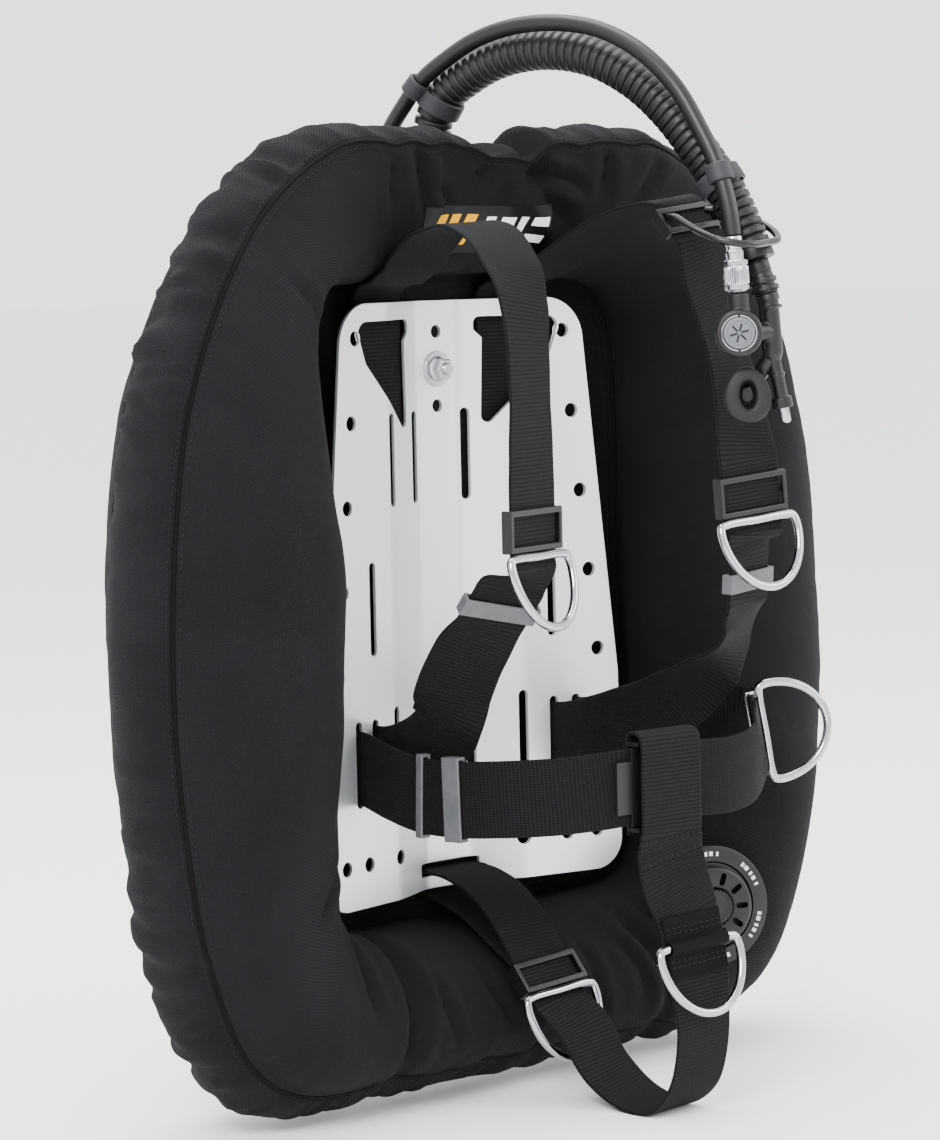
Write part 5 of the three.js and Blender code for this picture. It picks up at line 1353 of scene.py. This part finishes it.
cap = turned("cap", [
    (-1.4, 12.8), (-1.4, 27.6), (-1.0, 28), (3.6, 28), (4.8, 27.2), (5.4, 25.8), (5.6, 24.4),
    (5.6, 15.4),
    (5.2, 14), (4.4, 13.2), (3.8, 12.8), (-1.4, 12.8)], valve_at, VALVE_AXIS, 120)
spokes = []
for i in range(10):
    turned_place = valve_place @ Matrix.Rotation(i * math.pi / 5, 4, "Z")
    spokes.append(prism("spoke", [(x + 20, y) for x, y in rounded(9, 4, 1.9)], -10, 20,
                        turned_place))
cap = edges_by_angle(cut_by(cap, joined("spokes", *spokes)))
show(cap, "dump_valve_cap_ring", acetal, nodes=["dump_valve_cap"])
grips = [turned("grip", [(3.0, 0.0), (3.0, 0.5), (7.3, 0.5), (7.6, 0.0)],
                (valve_place @ Matrix.Rotation(i * math.pi / 12, 4,
                                               "Z") @ Vector((12.1, 0, 0))) * MM,
                VALVE_AXIS, 8) for i in range(24)]
knob = joined("knob", turned("knob", [
    (-16, 0), (-16, 6.7), (-1.4, 6.7), (-1.4, 12.1), (-1.0, 12.5), (5.6, 12.5), (6.6, 11.9),
    (7.0, 10.8),
    (6.2, 9.4), (5.9, 7), (5.9, 2.4), (6.3, 1.4), (6.5, 0)], valve_at, VALVE_AXIS, 72), *grips)
show(knob, "dump_valve_pull_knob", acetal, body="dump_valve_knob",
     nodes=["dump_valve_knob"])
# Plain printed dashes round the flange, in place of any lettering.
ink = noisy(finish("pad_printed_white_ink", Base_Color="#c9cacb"), (1200, 2), rough=(0.45, 0.7))
dashes = []
for start in (20, 80, 140, 200, 260, 320):
    for k, span in enumerate((2.6, 4.2, 3.0, 5.0, 3.4)):
        a0, a1 = math.radians(start + k * 6.6), math.radians(start + k * 6.6 + span)
        arc = [(r * math.cos(a), r * math.sin(a)) for r,
               ends in ((35.3, (a0, a1)), (38.3, (a1, a0)))
               for a in np.linspace(*ends, 4)]
        dashes.append(prism("dash", arc, -2.0, -1.82, valve_place))
show(joined("dump_valve_marks", *dashes), "dump_valve_marks", ink)

# ---- Hose elbow
# A moulded elbow screwed into the rear of the top tube; the corrugated hose is clamped on it.
def fused(name, pieces, voxel=0.55, passes=4):
    """Pieces moulded as one: merged into one skin, their joints softened."""
    whole = joined(name, *pieces)
    skin_of = whole.modifiers.new("skin", "REMESH")
    skin_of.mode, skin_of.voxel_size = "VOXEL", voxel * MM
    ease = whole.modifiers.new("ease", "SMOOTH")
    ease.factor, ease.iterations = 0.5, passes
    made = meshed(whole)
    made.data.polygons.foreach_set("use_smooth", [True] * len(made.data.polygons))
    made.name = name
    return made


def bar(start, end, radius, end_radius=None, sides=40, ease=0.4):
    """A round bar between two points in mm, its ends eased."""
    start, end = Vector(start), Vector(end)
    long = (end - start).length
    last = radius if end_radius is None else end_radius
    return turned("bar", [(0, 0), (0, radius - ease), (ease, radius), (long - ease, last),
                          (long, last - ease), (long, 0)], start * MM, end - start, sides)


BEND = 16.5
elbow_turn = [(26, 5 + BEND * math.sin(a), 262 + BEND * (1 - math.cos(a)))
              for a in np.linspace(0, math.pi / 2, 12)]
elbow_line = np.array([(26, 3, 262)] + elbow_turn + [(26, 21, 292)]) * MM
elbow = fused("hose_elbow_moulding", [
    bar((26, 2.3, 262), (26, 7, 262), 20, sides=72, ease=0.8),
    bar((26, 6, 262), (26, 10, 262), 13.2, 12),
    meshed(curve("bend", elbow_line, 11.6 * MM, resolution=8)),
    bar((26, 21, 284), (26, 21, 292), 12), bar((26, 21, 279), (26, 21, 282), 12.6)], 0.7, 3)
show(elbow, "hose_elbow_moulding", acetal, nodes=["hose_elbow"])

# ---- Power inflator
# A moulded body on the end of the corrugated hose: the round button housing and the quick
# disconnect on one side, the oral tube with its rubber mouthpiece below, the deflate button last.
FACING = Vector((-0.7, -0.71, 0.05)).normalized()
HOUSING, MOUTH = Vector((71.5, -224, 162)), Vector((81.5, -222, 121.5))
CUFF_TOP, NECK_TOP = Vector((95.8, -218, 209)), Vector((98, -225, 187))
QD_TOP, QD_BOTTOM = Vector((70, -221.5, 226)), Vector((71.3, -225, 176))
STEM_TOP, STEM_END = Vector((100.3, -227.5, 148)), Vector((105, -232, 112))
cuff_axis, qd_axis = (NECK_TOP - CUFF_TOP).normalized(), (QD_TOP - QD_BOTTOM).normalized()
stem_axis = (STEM_END - STEM_TOP).normalized()
mouth_back = MOUTH - 18 * FACING
body = fused("inflator_body_moulding", [
    bar(NECK_TOP + 0.3 * cuff_axis, NECK_TOP + 5 * cuff_axis, 7.6),
    bar(NECK_TOP + 3 * cuff_axis, STEM_TOP, 6.8),
    bar(NECK_TOP + 9 * cuff_axis, NECK_TOP + 11 * cuff_axis, 7.6),
    bar(STEM_TOP, STEM_TOP.lerp(STEM_END, 0.15), 6.8, 4.5), bar(STEM_TOP, STEM_END, 4.5),
    bar(STEM_TOP.lerp(STEM_END, 0.36), STEM_TOP.lerp(STEM_END, 0.42), 5.3),
    bar(STEM_TOP.lerp(STEM_END, 0.8), STEM_END, 6.6),
    bar(HOUSING - 11 * FACING, HOUSING + 11 * FACING, 15.5, sides=72, ease=1.4),
    bar(HOUSING, (99.6, -226.8, 162), 6.5),
    bar(QD_BOTTOM - 6 * qd_axis, QD_BOTTOM + 12 * qd_axis, 7.4),
    bar(STEM_TOP, mouth_back, 5.2), bar(mouth_back, MOUTH - 11 * FACING, 5.2)], 0.5, 3)
body = cut_by(body, bar(HOUSING + 4.5 * FACING, HOUSING + 14 * FACING, 12.0, sides=72),
              bar(STEM_TOP.lerp(STEM_END, 0.85), STEM_END + 5 * stem_axis, 3.7))
show(body, "inflator_body_moulding", acetal, nodes=["inflator_body"])

housing_place = frame_at(HOUSING, (0.71, -0.7, 0), FACING)
bezel = turned("bezel", [(9.0, 10.8), (9.0, 12.1), (10.6, 12.1), (11.2, 11.8), (11.4, 11.4),
                         (11.2, 11.0), (10.6, 10.8), (9.0, 10.8)], HOUSING * MM, FACING, 96)
gap_in_bezel = prism("gap", rounded(1.4, 40, 0.3), 5, 13, housing_place)
bezel = edges_by_angle(cut_by(bezel, gap_in_bezel))
show(bezel, "inflator_bezel_ring", polished)
grey_cap = noisy(finish("satin_grey_polymer", Roughness=0.45, Base_Color="#5d5f62",
                        Specular_IOR_Level=0.35),
                 (700, 3), relief=(0.15, 0.0002))
button = turned("button", [(8, 0), (8, 10), (8.5, 10.4), (11.4, 10.4), (12.2, 9.8), (12.4, 9),
                           (12.4, 8.4),
                           (12.1, 8.1), (12.1, 7.6), (12.4, 7.3), (12.5, 0)], HOUSING * MM, FACING,
                72)
rays = [prism("ray", [(x + 3.8, y) for x, y in rounded(5.2, 1.3, 0.5, 3)], 12.3, 12.7,
              housing_place @ Matrix.Rotation(math.radians(60 * i + 15), 4, "Z")) for i in range(6)]
show(button, "inflate_button_face", grey_cap, body="inflate_button",
     nodes=["inflate_button"])
show(joined("inflate_button_rays", *rays), "inflate_button_rays", acetal,
     body="inflate_button")
press = turned("press", [(-1.2, 0), (-1.2, 3.2), (-1, 3.4), (8.8, 3.4), (9.6, 2.9), (10, 2),
                         (10, 0)],
               STEM_END * MM, stem_axis, 40)
show(press, "deflate_button_plunger", polished, body="deflate_button",
     nodes=["deflate_button"])
coupler = turned("coupler", [
    (13, 4.3), (13, 5.7), (13.4, 6), (36, 6), (37, 6.3), (40, 6.3), (41, 5.4), (42, 5.4), (43, 6),
    (48.6, 6),
    (49.4, 5.7), (49.8, 5), (49.8, 0), (38, 0), (38, 4.3), (13, 4.3)], QD_BOTTOM * MM, qd_axis, 48)
show(coupler, "qd_coupler_nipple", chrome, nodes=["qd_coupler"])

# Fine knurling on the collar: a turned ring whose reach swells and sinks round it where its
# profile (reach, radius, share of the knurl's depth) says so.
TEETH, TOOTH_DEPTH, TEETH_STEPS = 36, 0.45, 144
profile = [(14, 6.5, 0), (14, 7.9, 0), (14.6, 8.5, 0), (17, 8.5, 0), (17.4, 7.9, 0), (18, 7.9, 0),
           (18.4, 8.4, 1), (22, 8.4, 1), (26, 8.4, 1), (29.4, 8.4, 1), (29.8, 7.9, 0),
           (30.4, 7.9, 0), (30.8, 8.5, 0), (33.4, 8.5, 0), (34, 7.9, 0), (34, 6.5, 0)]
spin = Vector((0, 0, 1)).rotation_difference(qd_axis).to_matrix()
collar_rings = []
for reach, radius, share in profile:
    ring_of = []
    for i in range(TEETH_STEPS):
        a = 2 * math.pi * i / TEETH_STEPS
        r = radius - share * TOOTH_DEPTH * (0.5 - 0.5 * math.cos(TEETH * a))
        ring_of.append(spin @ Vector((r * math.cos(a), r * math.sin(a), reach)) + QD_BOTTOM)
    collar_rings.append(ring_of)
show(banded("qd_collar_knurled", collar_rings, 30), "qd_collar_knurled", chrome,
     body="qd_collar", nodes=["qd_collar"])

cuff_long = (NECK_TOP - CUFF_TOP).length
cuff = turned("cuff", [(0, 0), (0, 7.6), (0.6, 8), (8, 8), (9, 7.5), (10, 8), (15, 8), (15.6, 7.6),
                       (21, 7.6),
                       (22.6, 8), (cuff_long, 7.7), (cuff_long, 0)],
              CUFF_TOP * MM, cuff_axis, 48)
show(cuff, "hose_cuff_sleeve", bellows_rubber, nodes=["hose_cuff"])
for place, share in (("upper", 0.62), ("lower", 0.86)):
    middle = CUFF_TOP.lerp(NECK_TOP, share)
    tie = joined("tie", turned("band", [(-1.5, 8.3), (-1.5, 9.1), (-1.2, 9.4), (1.2, 9.4),
                                        (1.5, 9.1), (1.5, 8.3),
                                        (-1.5, 8.3)], middle * MM, cuff_axis, 48),
                 prism("head", rounded(5, 4, 0.8), 8.6, 11.6,
                       frame_at(middle, (0.7, -0.7, 0), (-0.7, -0.7, 0.1)), 0.4))
    show(tie, "hose_tie_band_" + place, acetal, nodes=["hose_tie_" + place])

# The mouthpiece: a soft oval bite flange on a short tube, with the mouth slot through it.
mouth_place = frame_at(MOUTH, (0.68, -0.72, -0.25), FACING) @ Matrix.Rotation(math.radians(17), 4,
                                                                              "Z")


def mouth_loop(across, up, lift, narrowing=0.0):
    """A 64-sided oval in the mouthpiece's frame, narrower towards its top by the narrowing."""
    return [mouth_place @ Vector(((across - narrowing * math.sin(a)) * math.cos(a),
                                  up * math.sin(a), lift))
            for a in np.linspace(0, 2 * math.pi, 64, endpoint=False)]


# (share of the full size, lift) of the mouth slot from its bottom up, then of the flange.
SLOT_HALF, FLANGE_HALF, TUBE_RADIUS = (5.2, 9.5), (15.5, 18.5), 8
layers = [mouth_loop(SLOT_HALF[0] * share, SLOT_HALF[1] * share, lift)
          for share, lift in ((0.62, -12), (0.8, -6), (0.95, -2), (1.1, -0.6), (1.3, 0.1))]
layers += [mouth_loop(FLANGE_HALF[0] * share, FLANGE_HALF[1] * share, lift, 2 * share)
           for share, lift in ((0.62, 0.1), (0.78, -0.1), (0.9, -0.4), (0.96, -0.9), (0.99, -1.5),
                               (1.0, -2.2),
                               (1.0, -3.6), (0.97, -5.0), (0.9, -5.8), (0.7, -6.0), (0.52, -6.2))]
layers += [mouth_loop(TUBE_RADIUS, TUBE_RADIUS, lift) for lift in (-7.2, -12.5)]
silicone = noisy(finish("moulded_silicone_rubber", Roughness=0.5, Base_Color="#08080a",
                        Specular_IOR_Level=0.3),
                 (500, 3), relief=(0.2, 0.0002))
show(banded("mouthpiece_bite", layers, 60), "mouthpiece_bite", silicone,
     nodes=["mouthpiece"])

# ---- Floor and studio
# A pale paper floor and backdrop under large soft lamps: the key high on the diver's right, a
# weaker one on the left, and one overhead that draws the shoulders of the wing.
bottom_z = cad_box[0].z
floor = placed("floor", bpy.data.meshes.new("floor"))
floor.data.from_pydata([(x, y, bottom_z) for x, y in ((-30, -30), (30, -30), (30, 30), (-30, 30))],
                       [], [(0, 1, 2, 3)])
paper = finish("matt_backdrop_paper", Roughness=0.9, Base_Color="#fbfbfb")
floor.data.materials.append(paper)
world = bpy.data.worlds.new("studio")
bpy.context.scene.world = world
world.use_nodes = True
sky = world.node_tree.nodes["Background"].inputs
sky["Color"].default_value, sky["Strength"].default_value = (0.95, 0.97, 1.0, 1), 2.4
LAMPS = [((-2.2, -1.5, 1.7), 1.2, 110), ((1.8, -1.9, 1.4), 1.6, 40), ((0, 0.4, 2.4), 1.8, 90)]
for place, size, power in LAMPS:
    lamp = bpy.data.lights.new("softbox", "AREA")
    lamp.size, lamp.energy = size, power
    light = placed("softbox", lamp)
    light.location = place
    light.rotation_mode = "QUATERNION"
    light.rotation_quaternion = (Vector((0, -0.1, 0)) - Vector(place)).to_track_quat("-Z", "Y")
